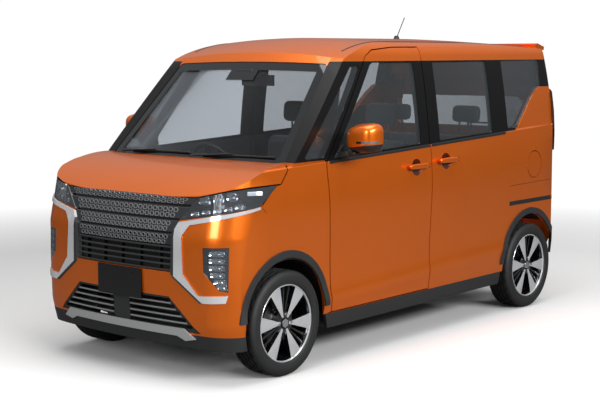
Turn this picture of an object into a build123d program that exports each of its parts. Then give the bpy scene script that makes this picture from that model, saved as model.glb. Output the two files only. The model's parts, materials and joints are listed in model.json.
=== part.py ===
from build123d import *
import math
import os

# Sizes in millimetres: +X forward, +Y to the car's left, +Z up, ground at zero
LENGTH = 3395.0
HALF_WIDTH = 737.5
ROOF_Z = 1779.0
FRONT_AXLE = 1178.0
REAR_AXLE = -1317.0
WHEEL_Z = 281.0
WHEEL_Y = 645.0
TYRE_RADIUS = 281.0
TYRE_WIDTH = 165.0
RIM_RADIUS = 205.0
ARCH_RADIUS = 318.0
ARCH_Z = 311.0
ARCH_SHIFT = 8.0
HOUSE_RADIUS = 338.0
TRIM_RADIUS = 358.0
BELT_SLOPE = 0.0405
FLOOR_Z = 205.0
FLOOR_TOP = 232.0
DOOR_THICK = 55.0
FRAME_THICK = 30.0
SIDE_WALL = 62.0
RAIL_WALL = 42.0
ROOF_HALF = 568.0
ROOF_THICK = 30.0
DOOR_GAP = 7.0
FIT = 0.3
SLANT = 0.1
HINGE_X = 780.0
HINGE_Y = 707.0
DOOR_HINGES = (400.0, 900.0)
BONNET_HINGE = (1187.0, 1108.0)
GATE_HINGE = (-1556.0, 1736.0)
GATE_HINGE_Y = 200.0
ROOF_TAIL = -1567.0
GATE_TOP = -1575.0
FUEL_HINGE = (-1250.5, 955.0)
FUEL_PIN = 733.5
FUEL_LID = (-1340.0, 955.0, 86.0)

# Plan of the body at each level: height, nose x, tail x, front corner radius, rear corner radius
PLAN_LEVELS = [
    (150.0, 1640.0, -1640.0, 190.0, 110.0),
    (310.0, 1683.0, -1682.0, 190.0, 110.0),
    (560.0, 1692.0, -1690.0, 190.0, 110.0),
    (760.0, 1688.0, -1690.0, 190.0, 110.0),
    (1060.0, 1625.0, -1688.0, 200.0, 110.0),
    (1300.0, 1581.0, -1679.0, 200.0, 110.0),
    (1850.0, 1480.0, -1600.0, 200.0, 110.0),
]

# Lower side section at x = 0: half width, height
SIDE_SECTION = [
    (690.0, 150.0),
    (721.0, 330.0),
    (729.0, 396.0),
    (721.0, 470.0),
    (727.0, 660.0),
    (737.5, 919.0),
    (722.0, 1141.0),
    (712.0, 1149.0),
    (690.0, 1300.0),
]

FRONT_DOOR = [
    (-136.0, 289.0),
    (797.0, 289.0),
    (827.0, 742.0),
    (846.0, 1095.0),
    (400.0, 1668.0),
    (330.0, 1700.0),
    (120.0, 1716.0),
    (-136.0, 1717.0),
]
SLIDING_DOOR = [
    (-144.0, 289.0),
    (-144.0, 1717.0),
    (-960.0, 1724.0),
    (-994.0, 1700.0),
    (-1014.0, 1180.0),
    (-1014.0, 585.0),
    (-965.0, 480.0),
    (-925.0, 380.0),
    (-897.0, 289.0),
]
FRONT_WINDOW = [
    (-50.0, 1159.0),
    (778.0, 1125.0),
    (372.0, 1620.0),
    (348.0, 1632.0),
    (-50.0, 1632.0),
]
SLIDING_WINDOW = [
    (-250.0, 1167.0),
    (-250.0, 1632.0),
    (-850.0, 1634.0),
    (-850.0, 1190.0),
]
QUARTER_WINDOW = [
    (-1036.0, 1202.0),
    (-1030.0, 1636.0),
    (-1516.0, 1640.0),
    (-1500.0, 1462.0),
    (-1462.0, 1458.0),
    (-1378.0, 1402.0),
    (-1170.0, 1216.0),
    (-1130.0, 1204.0),
]
PILLAR_WINDOW = [
    (862.0, 1132.0),
    (1040.0, 1126.0),
    (560.0, 1608.0),
    (462.0, 1622.0),
]

# Corner lamp and bright shield outlines on the left front corner: x, y, z
HEADLAMP = [
    (1650.0, 399.0, 844.0),
    (1611.0, 503.0, 967.0),
    (1526.0, 680.0, 1010.0),
    (1261.0, 737.0, 1022.0),
    (1281.0, 737.0, 1005.0),
    (1403.0, 737.0, 917.0),
    (1606.0, 606.0, 880.0),
]
SHIELD = [
    (1669.0, 363.0, 771.0),
    (1676.0, 361.0, 570.0),
    (1674.0, 377.0, 550.0),
    (1651.0, 542.0, 435.0),
    (1594.0, 671.0, 443.0),
    (1586.0, 681.0, 481.0),
    (1653.0, 533.0, 472.0),
    (1667.0, 442.0, 574.0),
    (1663.0, 429.0, 767.0),
    (1646.0, 471.0, 826.0),
    (1609.0, 609.0, 856.0),
    (1400.0, 737.0, 903.0),
    (1403.0, 737.0, 916.0),
    (1606.0, 606.0, 879.0),
    (1654.0, 402.0, 836.0),
]
BUMPER_LAMP = [
    (1641.0, 558.0, 718.0),
    (1582.0, 685.0, 724.0),
    (1586.0, 682.0, 498.0),
    (1615.0, 646.0, 506.0),
    (1643.0, 565.0, 593.0),
]

# Front openings seen from ahead: y, z
UPPER_GRILLE = [
    (-361.0, 577.0),
    (361.0, 577.0),
    (363.0, 771.0),
    (402.0, 838.0),
    (497.0, 962.0),
    (-497.0, 962.0),
    (-402.0, 838.0),
    (-363.0, 771.0),
]
LOWER_GRILLE = [
    (-345.0, 449.0),
    (-540.0, 272.0),
    (540.0, 272.0),
    (345.0, 449.0),
]
SKID = [
    (-440.0, 292.0),
    (-505.0, 240.0),
    (-440.0, 226.0),
    (-390.0, 248.0),
    (390.0, 248.0),
    (440.0, 226.0),
    (505.0, 240.0),
    (440.0, 292.0),
]
BONNET_EDGE = [
    (0.0, 959.0),
    (340.0, 961.0),
    (500.0, 967.0),
    (680.0, 1010.0),
    (745.0, 1024.0),
    (800.0, 1024.0),
]
ROOF_LINE = [
    (1500.0, 1000.0),
    (760.0, 1592.0),
    (560.0, 1712.0),
    (440.0, 1750.0),
    (300.0, 1771.0),
    (150.0, 1779.0),
    (-400.0, 1779.0),
    (-850.0, 1775.0),
    (-1300.0, 1759.0),
]
nodes = {}
cache = {}


def vec(x, y, z):
    return Vector(x, y, z)


def arc(a, m, b):
    return Edge.make_three_point_arc(vec(*a), vec(*m), vec(*b))


def seg(a, b):
    return Edge.make_line(vec(*a), vec(*b))


def solids_of(shape):
    if shape is None:
        return []
    if isinstance(shape, (list, tuple, ShapeList)):
        found = []
        for item in shape:
            found += solids_of(item)
        return found
    return list(shape.solids())


def put(name, *shapes):
    nodes.setdefault(name, [])
    for shape in shapes:
        nodes[name] += [s for s in solids_of(shape) if s.volume > 20.0]


def flat(points, grow=0.0, corner=0.0):
    """A face in the XY plane from a closed list of points."""
    face = Face(Wire.make_polygon([vec(p[0], p[1], 0) for p in points]))
    if face.normal_at().Z < 0:
        face = -face
    if grow:
        face = offset(face, amount=grow, kind=Kind.INTERSECTION).faces()[0]
    if corner:
        face = face.fillet_2d(corner, face.vertices())
    return face


def side_prism(face, far=900.0, near=350.0, slant=SLANT):
    """A left-hand prism whose face is drawn in x and z at the outer skin."""
    start = far - HALF_WIDTH
    where = Plane(origin=(-slant * start, far, 0), x_dir=(1, 0, 0), z_dir=(0, -1, 0))
    run = far - near
    return Solid.extrude(where * face, vec(slant * run, -run, 0))


def front_prism(face, low=1200.0, high=1900.0):
    where = Plane(origin=(low, 0, 0), x_dir=(0, 1, 0), z_dir=(1, 0, 0))
    return Solid.extrude(where * face, vec(high - low, 0, 0))


def corner_prism(points, grow=0.0, low=1050.0, high=1800.0):
    """A prism seen from the left front corner, through points on the skin."""
    half = math.sqrt(0.5)
    drawn = [((y - x) * half, z) for x, y, z in points]
    face = flat(drawn, grow)
    where = Plane(origin=(low * half, low * half, 0), x_dir=(-half, half, 0), z_dir=(half, half, 0))
    return Solid.extrude(where * face, vec((high - low) * half, (high - low) * half, 0))


def box(x0, x1, y0, y1, z0, z1):
    return Solid.make_box(x1 - x0, y1 - y0, z1 - z0, Plane(origin=(x0, y0, z0)))


def rod(a, b, radius):
    a = vec(*a)
    b = vec(*b)
    run = b - a
    return Solid.make_cylinder(radius, run.length, Plane(origin=a, z_dir=run))


def across(x, z, radius, y0, y1):
    return rod((x, y0, z), (x, y1, z), radius)


def arch_hole(axle, radius, y0, y1):
    """The wheel opening in the skin, a little above and ahead of the axle."""
    return across(axle + ARCH_SHIFT, ARCH_Z, radius, y0, y1)


def flip(shape):
    return shape.mirror(Plane.XZ)


def plan_wire(z, nose, tail, front_r, rear_r, d):
    nose = nose - d
    tail = tail + d
    half = HALF_WIDTH + 0.5 - d
    sweep = 68.0
    edges = [
        arc((nose - sweep, -half, z), (nose, 0, z), (nose - sweep, half, z)),
        seg((nose - sweep, half, z), (tail + 45.0, half, z)),
        arc((tail + 45.0, half, z), (tail, 0, z), (tail + 45.0, -half, z)),
        seg((tail + 45.0, -half, z), (nose - sweep, -half, z)),
    ]
    face = Face(Wire(edges))
    front = [v for v in face.vertices() if v.X > 0]
    rear = [v for v in face.vertices() if v.X < 0]
    face = face.fillet_2d(max(front_r - d, 40.0), front)
    rear = [v for v in face.vertices() if v.X < tail + 60.0]
    face = face.fillet_2d(max(rear_r - d, 30.0), rear)
    return face.outer_wire()


def plan_block(d):
    wires = [plan_wire(z, nose, tail, fr, rr, d) for z, nose, tail, fr, rr in PLAN_LEVELS]
    return Solid.make_loft(wires, ruled=True)


def lower_section(d):
    """Side walls up to the belt, drawn at the nose and run back up the slope."""
    start = 1800.0
    drop = start * BELT_SLOPE
    p = [(start, y - d, z - drop) for y, z in SIDE_SECTION]
    q = [(x, -y, z) for x, y, z in p]
    bulge = {0: 6.0, 1: 1.5, 2: -1.0, 3: -1.0, 4: 1.5, 5: 1.5}
    edges = []
    for side, sign in ((p, 1.0), (q, -1.0)):
        for i in range(len(side) - 1):
            a = side[i]
            b = side[i + 1]
            out = bulge.get(i, 0.0)
            if out:
                m = (start, (a[1] + b[1]) / 2 + sign * out, (a[2] + b[2]) / 2)
                edges.append(arc(a, m, b))
            else:
                edges.append(seg(a, b))
    edges.append(seg(p[-1], q[-1]))
    edges.append(seg(p[0], q[0]))
    return Solid.extrude(Face(Wire(edges)), vec(-3700.0, 0, 3700.0 * BELT_SLOPE))


def upper_section(d):
    """Side glass, shoulder and roof crown, run straight back."""
    x = 1800.0
    a = (x, 727.0 - d, 1000.0)
    b = (x, 633.0 - d, 1745.0 - d)
    top = (x, 0.0, ROOF_Z - d)
    edges = [
        arc(a, (x, 692.0 - d, 1380.0), b),
        arc(b, top, (x, -b[1], b[2])),
        arc((x, -b[1], b[2]), (x, -692.0 + d, 1380.0), (x, -a[1], a[2])),
        seg((x, -a[1], a[2]), a),
    ]
    face = Face(Wire(edges))
    face = face.fillet_2d(100.0 - d * 0.5, [v for v in face.vertices() if v.Z > 1500])
    return Solid.extrude(face, vec(-3700.0, 0, 0))


def roof_block(d):
    """The roof's long curve turned about a low axis, so it crowns both ways."""
    centre = Axis(vec(0, 0, ROOF_Z - d - 5700.0), vec(1, 0, 0))
    front = (1000.0, 0, 1415.0 - d)
    brow = (560.0, 0, 1712.0 - d)
    peak = (150.0, 0, ROOF_Z - d)
    tail = (-1800.0, 0, 1734.0 - d)
    edges = [
        arc(front, brow, peak),
        arc(peak, (-850.0, 0, 1775.0 - d), tail),
        seg(tail, (-1800.0, 0, 0)),
        seg((-1800.0, 0, 0), (1420.0, 0, 0)),
        seg((1420.0, 0, 0), (1420.0, 0, 1000.0 - d)),
        seg((1420.0, 0, 1000.0 - d), front),
    ]
    turned = Solid.revolve(Face(Wire(edges)), 30.0, centre)
    return turned.rotate(centre, -15.0)


def screen_side(d):
    """Everything ahead of the windscreen's curved surface, set in by d."""
    rise = 516.0
    run = -488.0
    z0 = 700.0
    x0 = 1158.0 - d * 710.2 / 516.0 - (z0 - 1112.0) * 488.0 / 516.0
    half = 900.0
    sag = 6700.0 - math.sqrt(6700.0**2 - half**2)
    edges = [
        arc((x0 - sag, -half, z0), (x0, 0, z0), (x0 - sag, half, z0)),
        seg((x0 - sag, half, z0), (2900, half, z0)),
        seg((2900, half, z0), (2900, -half, z0)),
        seg((2900, -half, z0), (x0 - sag, -half, z0)),
    ]
    slope = vec(run, 0, rise).normalized()
    return Solid.extrude(Face(Wire(edges)), slope * 1750.0)


def above_bonnet(d):
    centre = (1142.0, 279.0)
    radius = 839.0 - d
    x1 = 1760.0
    z1 = centre[1] + math.sqrt(radius**2 - (x1 - centre[0]) ** 2)
    xm = 1480.0
    zm = centre[1] + math.sqrt(radius**2 - (xm - centre[0]) ** 2)
    top = centre[1] + radius
    edges = [
        seg((800, -900, top), (centre[0], -900, top)),
        arc((centre[0], -900, top), (xm, -900, zm), (x1, -900, z1)),
        seg((x1, -900, z1), (x1, -900, 2200)),
        seg((x1, -900, 2200), (800, -900, 2200)),
        seg((800, -900, 2200), (800, -900, top)),
    ]
    return Solid.extrude(Face(Wire(edges)), vec(0, 1800.0, 0))


def low(d):
    if ("low", d) not in cache:
        body = lower_section(d) & plan_block(d)
        body = body.solids()[0] - above_bonnet(d)
        body = body.solids()[0]
        if d == 0.0:
            body = soften(body)
        cache["low", d] = body
    return cache["low", d]


def soften(body):
    """Round the bonnet's sides and front lip where the kernel allows it."""
    for radius in (48.0, 36.0, 24.0):
        edges = []
        for e in body.edges():
            c = e.center()
            b = e.bounding_box()
            on_top = b.min.Z > 930.0 and c.Z > 930.0 and b.max.Z < 1125.0
            if on_top and c.X > 1142.0 and b.size.X > 20.0 and abs(c.Y) > 600.0:
                edges.append(e)
            elif on_top and c.X > 1560.0 and b.size.Y > 100.0:
                edges.append(e)
        try:
            made = body.fillet(radius, edges)
            if made.is_valid and made.volume > body.volume * 0.97:
                return made
        except Exception:
            continue
    return body


def up(d):
    if ("up", d) not in cache:
        body = upper_section(d) & plan_block(d)
        body = body.solids()[0] & roof_block(d)
        body = body.solids()[0] - screen_side(d)
        cache["up", d] = body.solids()[0]
    return cache["up", d]


def hull():
    if "hull" not in cache:
        made = low(0.0) + up(0.0)
        cache["hull"] = made.solids()[0]
    return cache["hull"]


def cavity_low(d, tail=-1600.0):
    """The room inside the walls below the belt."""
    if ("cavity_low", d, tail) not in cache:
        room = lower_section(d) & box(tail, 1600.0, -900.0, 900.0, 0.0, 1600.0)
        cache["cavity_low", d, tail] = room.solids()[0]
    return cache["cavity_low", d, tail]


def cavity_up(d, tail=-1600.0):
    """The room inside the glass and under the roof."""
    if ("cavity_up", d, tail) not in cache:
        under = [(x, z - d - 14.0) for x, z in ROOF_LINE]
        lean = 70.0
        outline = under + [(tail + lean, under[-1][1]), (tail, 1060.0), (tail, 900.0), (1500.0, 900.0)]
        room = upper_section(d) & side_prism(flat(outline), 900.0, -900.0, 0.0)
        room = room.solids()[0] - screen_side(d)
        cache["cavity_up", d, tail] = room.solids()[0]
    return cache["cavity_up", d, tail]


def shell(prism, low_in, up_in):
    """The hull inside a prism, hollowed to a wall below and above the belt."""
    made = solids_of(hull() & prism)
    if low_in is not None:
        made = minus(made, cavity_low, low_in)
    return minus(made, cavity_up, up_in)


def cut(shape, *tools):
    made = solids_of(shape)
    for tool in tools:
        for piece in solids_of(tool):
            made = solids_of([one - piece for one in made])
    return made


def minus(shape, maker, depth):
    """Cut an inner body away, a shade deeper or shallower if the kernel slips."""
    before = solids_of(shape)
    volume = sum(s.volume for s in before)
    best = before
    for nudge in (0.0, -1.3, 1.7, -3.1, 3.3, -6.3, 6.1):
        made = cut(before, maker(depth + nudge))
        left = sum(s.volume for s in made)
        sound = made and all(s.is_valid for s in made)
        if sound and 0.02 * volume < left < 0.995 * volume:
            return made
        if made and left < 0.995 * volume and best is before:
            best = made
    print("kernel slip", maker.__name__, depth, round(volume), round(sum(s.volume for s in best)))
    return best


def join(shape, *others):
    made = solids_of(shape)
    out = made[0]
    for other in made[1:]:
        out = out + other
    for other in others:
        for piece in solids_of(other):
            out = out + piece
    return out


def keep(shape, tool):
    made = []
    for one in solids_of(shape):
        for piece in solids_of(tool):
            made += solids_of(one & piece)
    return made


def big(shape, count=1):
    return sorted(solids_of(shape), key=lambda s: -s.volume)[:count]


def screen_face(grow=0.0):
    up_z = lambda z: (z - 1112.0) * 710.2 / 516.0
    points = [(-660.0, up_z(1108.0)), (660.0, up_z(1108.0)), (566.0, up_z(1640.0)), (-566.0, up_z(1640.0))]
    face = flat(points, grow, 28.0)
    normal = vec(516.0, 0, 488.0).normalized()
    where = Plane(origin=vec(1158.0, 0, 1112.0) - normal * 150.0, x_dir=(0, 1, 0), z_dir=normal)
    return Solid.extrude(where * face, normal * 260.0)


def glass_pane(points, inset=0.5):
    prism = side_prism(flat(points, -inset, 14.0), 800.0, 560.0)
    pane = prism & up(4.0)
    return big(cut(pane, up(9.0)))


def make_doors():
    outline = flat(FRONT_DOOR)
    prism = side_prism(outline, 800.0, ROOF_HALF + DOOR_GAP)
    window = side_prism(flat(FRONT_WINDOW, 0.0, 14.0), 800.0, 500.0)
    door = shell(prism, DOOR_THICK, FRAME_THICK)
    door = cut(door, window)
    door = cut(door, arch_hole(FRONT_AXLE, TRIM_RADIUS + 6.0, 500.0, 800.0))
    door = big(door)
    for z in DOOR_HINGES:
        hole = box(HINGE_X - 18.0, HINGE_X + 80.0, HINGE_Y - 70.0, HINGE_Y + 12.5, z - 30.0, z + 30.0)
        door = cut(door, hole)
        barrel = rod((HINGE_X, HINGE_Y, z - 14.0), (HINGE_X, HINGE_Y, z + 14.0), 12.0)
        arm = box(HINGE_X - 19.0, HINGE_X, HINGE_Y - 8.0, HINGE_Y + 8.0, z - 14.0, z + 14.0)
        pin = rod((HINGE_X, HINGE_Y, z - 30.0), (HINGE_X, HINGE_Y, z + 30.0), 5.0 + FIT)
        barrel = cut(join(barrel, arm), pin)
        door = join(door, barrel)
    door = join(door, handle(18.0, 1032.0))
    put("front_door_left", door)
    put("front_door_right", [flip(s) for s in solids_of(door)])
    pane = glass_pane(FRONT_WINDOW)
    put("front_door_glass_left", pane)
    put("front_door_glass_right", [flip(s) for s in pane])
    slide = shell(side_prism(flat(SLIDING_DOOR), 800.0, ROOF_HALF + DOOR_GAP), DOOR_THICK, FRAME_THICK)
    slide = cut(slide, side_prism(flat(SLIDING_WINDOW, 0.0, 14.0), 800.0, 500.0))
    slide = join(big(slide), handle(-292.0, 1049.0))
    put("sliding_doors", slide, [flip(s) for s in solids_of(slide)])
    pane = glass_pane(SLIDING_WINDOW)
    put("sliding_door_glass", pane, [flip(s) for s in pane])


def handle(x, z):
    bar = box(x - 92.0, x + 92.0, 752.0, 768.0, z - 13.0, z + 13.0)
    long = [e for e in bar.edges() if abs(e.tangent_at(0).X) > 0.9]
    bar = bar.fillet(6.0, long)
    feet = [box(x + s * 72.0 - 13.0, x + s * 72.0 + 13.0, 715.0, 760.0, z - 9.0, z + 9.0) for s in (-1, 1)]
    return join(bar, feet)


def make_mirrors():
    head = box(640.0, 775.0, 778.0, 948.0, 1142.0, 1290.0)
    tall = [e for e in head.edges() if abs(e.tangent_at(0).X) > 0.9]
    head = head.fillet(48.0, tall)
    front = [e for e in head.edges() if e.center().X > 770.0]
    head = head.fillet(38.0, front)
    well = box(636.0, 648.0, 796.0, 930.0, 1160.0, 1272.0)
    head = cut(head, well)
    arm = box(700.0, 756.0, 716.0, 800.0, 1128.0, 1156.0)
    foot = side_prism(flat([(700.0, 1128.0), (780.0, 1124.0), (772.0, 1136.0), (706.0, 1196.0)]), 730.0, 690.0)
    head = join(head, arm, foot)
    head = cut(head, up(0.0 - FIT))
    head = big(head)
    mirror = box(638.0, 647.7, 796.0 + FIT, 930.0 - FIT, 1160.0 + FIT, 1272.0 - FIT)
    put("door_mirror_left", head)
    put("door_mirror_right", [flip(s) for s in head])
    put("mirror_glass_left", mirror)
    put("mirror_glass_right", flip(mirror))


def side_tools():
    """Everything cut from a body side so its doors, glass and panels fit."""
    front_open = flat(FRONT_DOOR, DOOR_GAP)
    slide_open = flat(SLIDING_DOOR, FIT)
    tools = [side_prism(front_open, 800.0, 500.0)]
    wide = side_prism(slide_open, 800.0, 500.0)
    tools += cut(wide, cavity_low(DOOR_THICK + FIT), cavity_up(FRAME_THICK + FIT))
    tools.append(side_prism(flat(SLIDING_DOOR, -14.0), 800.0, 400.0))
    tools.append(side_prism(flat(QUARTER_WINDOW, 0.0, 12.0), 800.0, 500.0))
    tools.append(side_prism(flat(PILLAR_WINDOW, 0.0, 12.0), 800.0, 500.0))
    tools.append(screen_face())
    tools.append(box(ROOF_TAIL - FIT, 900.0, -ROOF_HALF - FIT, ROOF_HALF + FIT, 1500.0, 1900.0))
    return tools


def gate_region(grow=0.0):
    """The tailgate seen from behind: narrower over the lamps, wide at the roof."""
    points = [
        (-600.0, 478.0),
        (600.0, 478.0),
        (636.0, 560.0),
        (640.0, 1030.0),
        (640.0, 1452.0),
        (598.0, 1800.0),
        (-598.0, 1800.0),
        (-640.0, 1452.0),
        (-640.0, 1030.0),
        (-636.0, 560.0),
    ]
    return front_prism(flat(points, grow), -1800.0, GATE_TOP + grow)


def make_sides():
    territory = flat([
        (-1720.0, 478.0),
        (-1720.0, 1800.0),
        (600.0, 1800.0),
        (1180.0, 1180.0),
        (1180.0, 1118.3),
        (905.0, 1118.3),
        (905.0, 205.0),
        (-1560.0, 205.0),
        (-1560.0, 478.0),
    ])
    region = side_prism(territory, 800.0, 480.0, 0.0)
    side = shell(region, SIDE_WALL, RAIL_WALL)
    side = cut(side, *side_tools())
    # the wing's thin skin lies outside the hinge pillar
    ahead = side_prism(flat([(804.0, 200.0), (834.0, 742.0), (853.0, 1095.0), (853.0, 1119.0), (1000.0, 1119.0), (1000.0, 200.0)]), 800.0, 480.0)
    side = cut(side, cut(ahead, lower_section(4.0 + FIT)))
    sweep = side_prism(flat([(780.0, 200.0), (821.0, 289.0), (845.0, 742.0), (864.0, 1108.0), (800.0, 1108.0), (700.0, 200.0)]), 800.0, 480.0)
    side = cut(side, keep(sweep, box(700.0, 900.0, 400.0, 800.0, 282.0, 1108.0)))
    side = cut(side, box(852.7, 905.3, 676.0, 800.0, 1107.7, 1119.0))
    sill = keep(box(-1010.0, 905.0, 640.4, 800.0, 205.0, 281.0), low(20.0 + FIT))
    side = cut(big(side, 6), cut(box(-1000.0, 905.0, 640.4, 800.0, 190.0, 281.0), lower_section(20.0 + FIT)))
    side = cut(side, box(-1010.3, 905.3, 0.0, 640.3, 204.7, FLOOR_TOP + FIT))
    side = join(side, sill)
    house = keep(cut(across(REAR_AXLE, WHEEL_Z, 346.0, 530.0, 735.0), across(REAR_AXLE, WHEEL_Z, 336.0, 540.0, 800.0)), box(-1700.0, -900.0, 500.0, 800.0, 281.0, 700.0))
    house = keep(house, low(6.0))
    side = join(big(side, 6), house)
    side = cut(side, across(REAR_AXLE, WHEEL_Z, 336.0, 540.0, 690.0), across(FRONT_AXLE, WHEEL_Z, 346.0, 380.0, 708.3))
    side = cut(side, box(REAR_AXLE - 60.0, REAR_AXLE + 60.0, 500.0, 545.0, 200.0, 360.0))
    side = cut(side, arch_hole(REAR_AXLE, ARCH_RADIUS, 540.0, 800.0), arch_hole(FRONT_AXLE, ARCH_RADIUS + 4.0, 380.0, 800.0))
    side = cut(side, gate_region(8.0))
    x, z, radius = FUEL_LID
    side = cut(side, across(x, z, radius + 5.0, 704.5, 790.0))
    side = cut(side, box(FUEL_HINGE[0] - 5.5, FUEL_HINGE[0] + 5.0, 704.5, 790.0, z - 17.5, z + 17.5))
    for z in DOOR_HINGES:
        for lo, hi in ((z - 26.0, z - 16.0), (z + 16.0, z + 26.0)):
            front = 838.0 + (z - 400.0) * 0.099
            root = front - 9.0 - (z - 400.0) * 0.038
            eye = box(HINGE_X - 9.0, HINGE_X + 7.0, HINGE_Y - 61.0, HINGE_Y + 9.0, lo, hi)
            strap = box(HINGE_X - 9.0, front, HINGE_Y - 61.0, HINGE_Y - 52.0, lo, hi)
            foot = box(root, front, HINGE_Y - 61.0, HINGE_Y + 9.0, lo, hi)
            ear = join(eye, strap, foot)
            side = join(big(side, 8), keep(ear, low(10.0)))
        side = join(big(side, 8), rod((HINGE_X, HINGE_Y, z - 26.0), (HINGE_X, HINGE_Y, z + 26.0), 5.0))
    hx, z = FUEL_HINGE
    lug = []
    for lo, hi in ((z - 16.0, z - 10.0), (z + 10.0, z + 16.0)):
        lug.append(box(hx - 3.0, hx + 8.0, 700.0, FUEL_PIN, lo, hi))
        lug.append(rod((hx, FUEL_PIN, lo), (hx, FUEL_PIN, hi), 3.0))
    side = join(big(side, 8), rod((hx, FUEL_PIN, z - 16.0), (hx, FUEL_PIN, z + 16.0), 1.6), lug)
    side = big(side, 1)
    put("body_sides", side, [flip(s) for s in side])
    for points in (QUARTER_WINDOW, PILLAR_WINDOW):
        pane = glass_pane(points)
        put("fixed_side_glass", pane, [flip(s) for s in pane])


def tail_lamp():
    """A tall lamp standing proud of the left rear corner."""
    rear = flat([(-1800.0, 1032.0), (-1800.0, 1448.0), (-1634.0, 1448.0), (-1616.0, 1420.0), (-1604.0, 1220.0), (-1632.0, 1032.0)])
    lamp = keep(side_prism(rear, 800.0, 652.0, 0.0), up(-14.0))
    return big(cut(lamp, low(0.0 - FIT), up(0.0 - FIT)))


def make_fuel_lid():
    x, z, radius = FUEL_LID
    disc = cut(keep(across(x, z, radius, 680.0, 790.0), low(0.0)), box(x - 120.0, x + 120.0, 600.0, 730.0, z - 120.0, z + 120.0))
    hx = FUEL_HINGE[0]
    knuckle = rod((hx, FUEL_PIN, z - 9.0), (hx, FUEL_PIN, z + 9.0), 3.2)
    arm = box(hx - 14.0, hx, FUEL_PIN - 3.0, FUEL_PIN + 3.0, z - 9.0, z + 9.0)
    lid = join(big(disc), arm, knuckle)
    lid = cut(lid, rod((hx, FUEL_PIN, z - 60.0), (hx, FUEL_PIN, z + 60.0), 1.6 + FIT))
    put("fuel_lid", lid)


def make_roof():
    region = box(ROOF_TAIL, 900.0, -ROOF_HALF, ROOF_HALF, 1540.0, 1900.0)
    roof = minus(up(0.0) & region, cavity_up, ROOF_THICK)
    roof = cut(roof, screen_face())
    roof = big(roof)
    for side in (-1.0, 1.0):
        y = side * GATE_HINGE_Y
        roof = cut(roof, box(ROOF_TAIL - 5.0, -1541.0, y - 18.0, y + 18.0, 1690.0, 1800.0))
        lugs = [box(GATE_HINGE[0] - 9.0, -1535.0, y + e - 4.0, y + e + 4.0, 1716.0, GATE_HINGE[1] + 4.0) for e in (-20.0, 20.0)]
        roof = join(roof, lugs)
        roof = join(roof, rod((GATE_HINGE[0], y - 24.0, GATE_HINGE[1]), (GATE_HINGE[0], y + 24.0, GATE_HINGE[1]), 3.5))
    put("roof_panel", roof)
    base = Solid.make_cone(22.0, 12.0, 26.0, Plane(origin=(-800.0, 0, 1775.0)))
    base = cut(base, up(0.0 - FIT))
    tilt = rod((-803.0, 0, 1790.0), (-889.0, 0, 1919.0), 3.0)
    put("antenna", join(base, tilt))


def make_screen():
    pane = keep(screen_face(-0.6), screen_side(10.0))
    pane = cut(pane, screen_side(4.0))
    put("windscreen", big(pane))
    head = box(600.0, 740.0, -55.0, 55.0, 1560.0, 1598.0)
    head = cut(head, screen_side(10.0 + FIT))
    stem = box(606.0, 622.0, -8.0, 8.0, 1530.0, 1565.0)
    glass = box(576.0, 592.0, -120.0, 120.0, 1500.0, 1562.0)
    glass = join(glass, box(576.0, 622.0, -8.0, 8.0, 1526.0, 1545.0))
    mirror = join(big(head), stem, glass)
    put("interior_mirror", mirror)


def make_tail():
    room = [(-1611.0, 400.0), (-1611.0, 1060.0), (-1560.0, 1600.0), (-1545.0, 1694.0), (-1400.0, 1694.0), (-1400.0, 400.0)]
    gate = cut(hull() & gate_region(), side_prism(flat(room), 900.0, -900.0, 0.0))
    window = front_prism(flat([(-560.0, 1175.0), (560.0, 1175.0), (520.0, 1600.0), (-520.0, 1600.0)], 0.0, 40.0), -1800.0, -1580.0)
    gate = cut(gate, window)
    gate = big(gate)
    for side in (-1.0, 1.0):
        y = side * GATE_HINGE_Y
        knuckle = across(GATE_HINGE[0], GATE_HINGE[1], 7.0, y - 13.0, y + 13.0)
        arm = box(-1590.0, GATE_HINGE[0], y - 13.0, y + 13.0, GATE_HINGE[1] - 7.0, GATE_HINGE[1] + 2.0)
        knuckle = join(knuckle, arm)
        gate = join(gate, cut(knuckle, across(GATE_HINGE[0], GATE_HINGE[1], 3.5 + FIT, y - 40.0, y + 40.0)))
    put("tailgate", big(gate))
    pane = keep(front_prism(flat([(-560.0, 1175.0), (560.0, 1175.0), (520.0, 1600.0), (-520.0, 1600.0)], -0.5, 40.0), -1800.0, -1560.0), up(5.0))
    put("tailgate_glass", big(cut(pane, up(10.0))))
    spoiler = side_prism(flat([(-1580.0, 1744.0), (-1610.0, 1749.0), (-1697.5, 1726.0), (-1694.0, 1706.0), (-1640.0, 1694.0), (-1600.0, 1680.0)]), 590.0, -590.0, 0.0)
    spoiler = cut(spoiler, join(up(0.0 - FIT)))
    put("rear_spoiler", big(spoiler))
    lamp = tail_lamp()
    put("tail_lamps", lamp, [flip(s) for s in lamp])
    region = box(-1800.0, -1300.0, -800.0, 800.0, 190.0, 477.7)
    bumper = cut(keep(region, low(0.0)), cavity_low(26.0, -1630.0))
    bumper = cut(bumper, arch_hole(REAR_AXLE, ARCH_RADIUS, -900.0, 900.0), across(REAR_AXLE, WHEEL_Z, 350.0, -700.0, 700.0))
    bumper = cut(bumper, box(-1559.7, 0.0, -900.0, 900.0, 0.0, 600.0))
    put("rear_bumper", big(bumper))
    wiper = join(rod((-1696.0, 0, 1150.0), (-1660.0, 0, 1150.0), 12.0), box(-1696.0, -1688.0, -8.0, 8.0, 1150.0, 1200.0))
    wiper = join(wiper, box(-1696.0, -1688.0, -8.0, 300.0, 1188.0, 1200.0))
    wiper = cut(wiper, low(0.0 - FIT), up(0.0 - FIT))
    put("rear_wiper", big(wiper))


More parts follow.
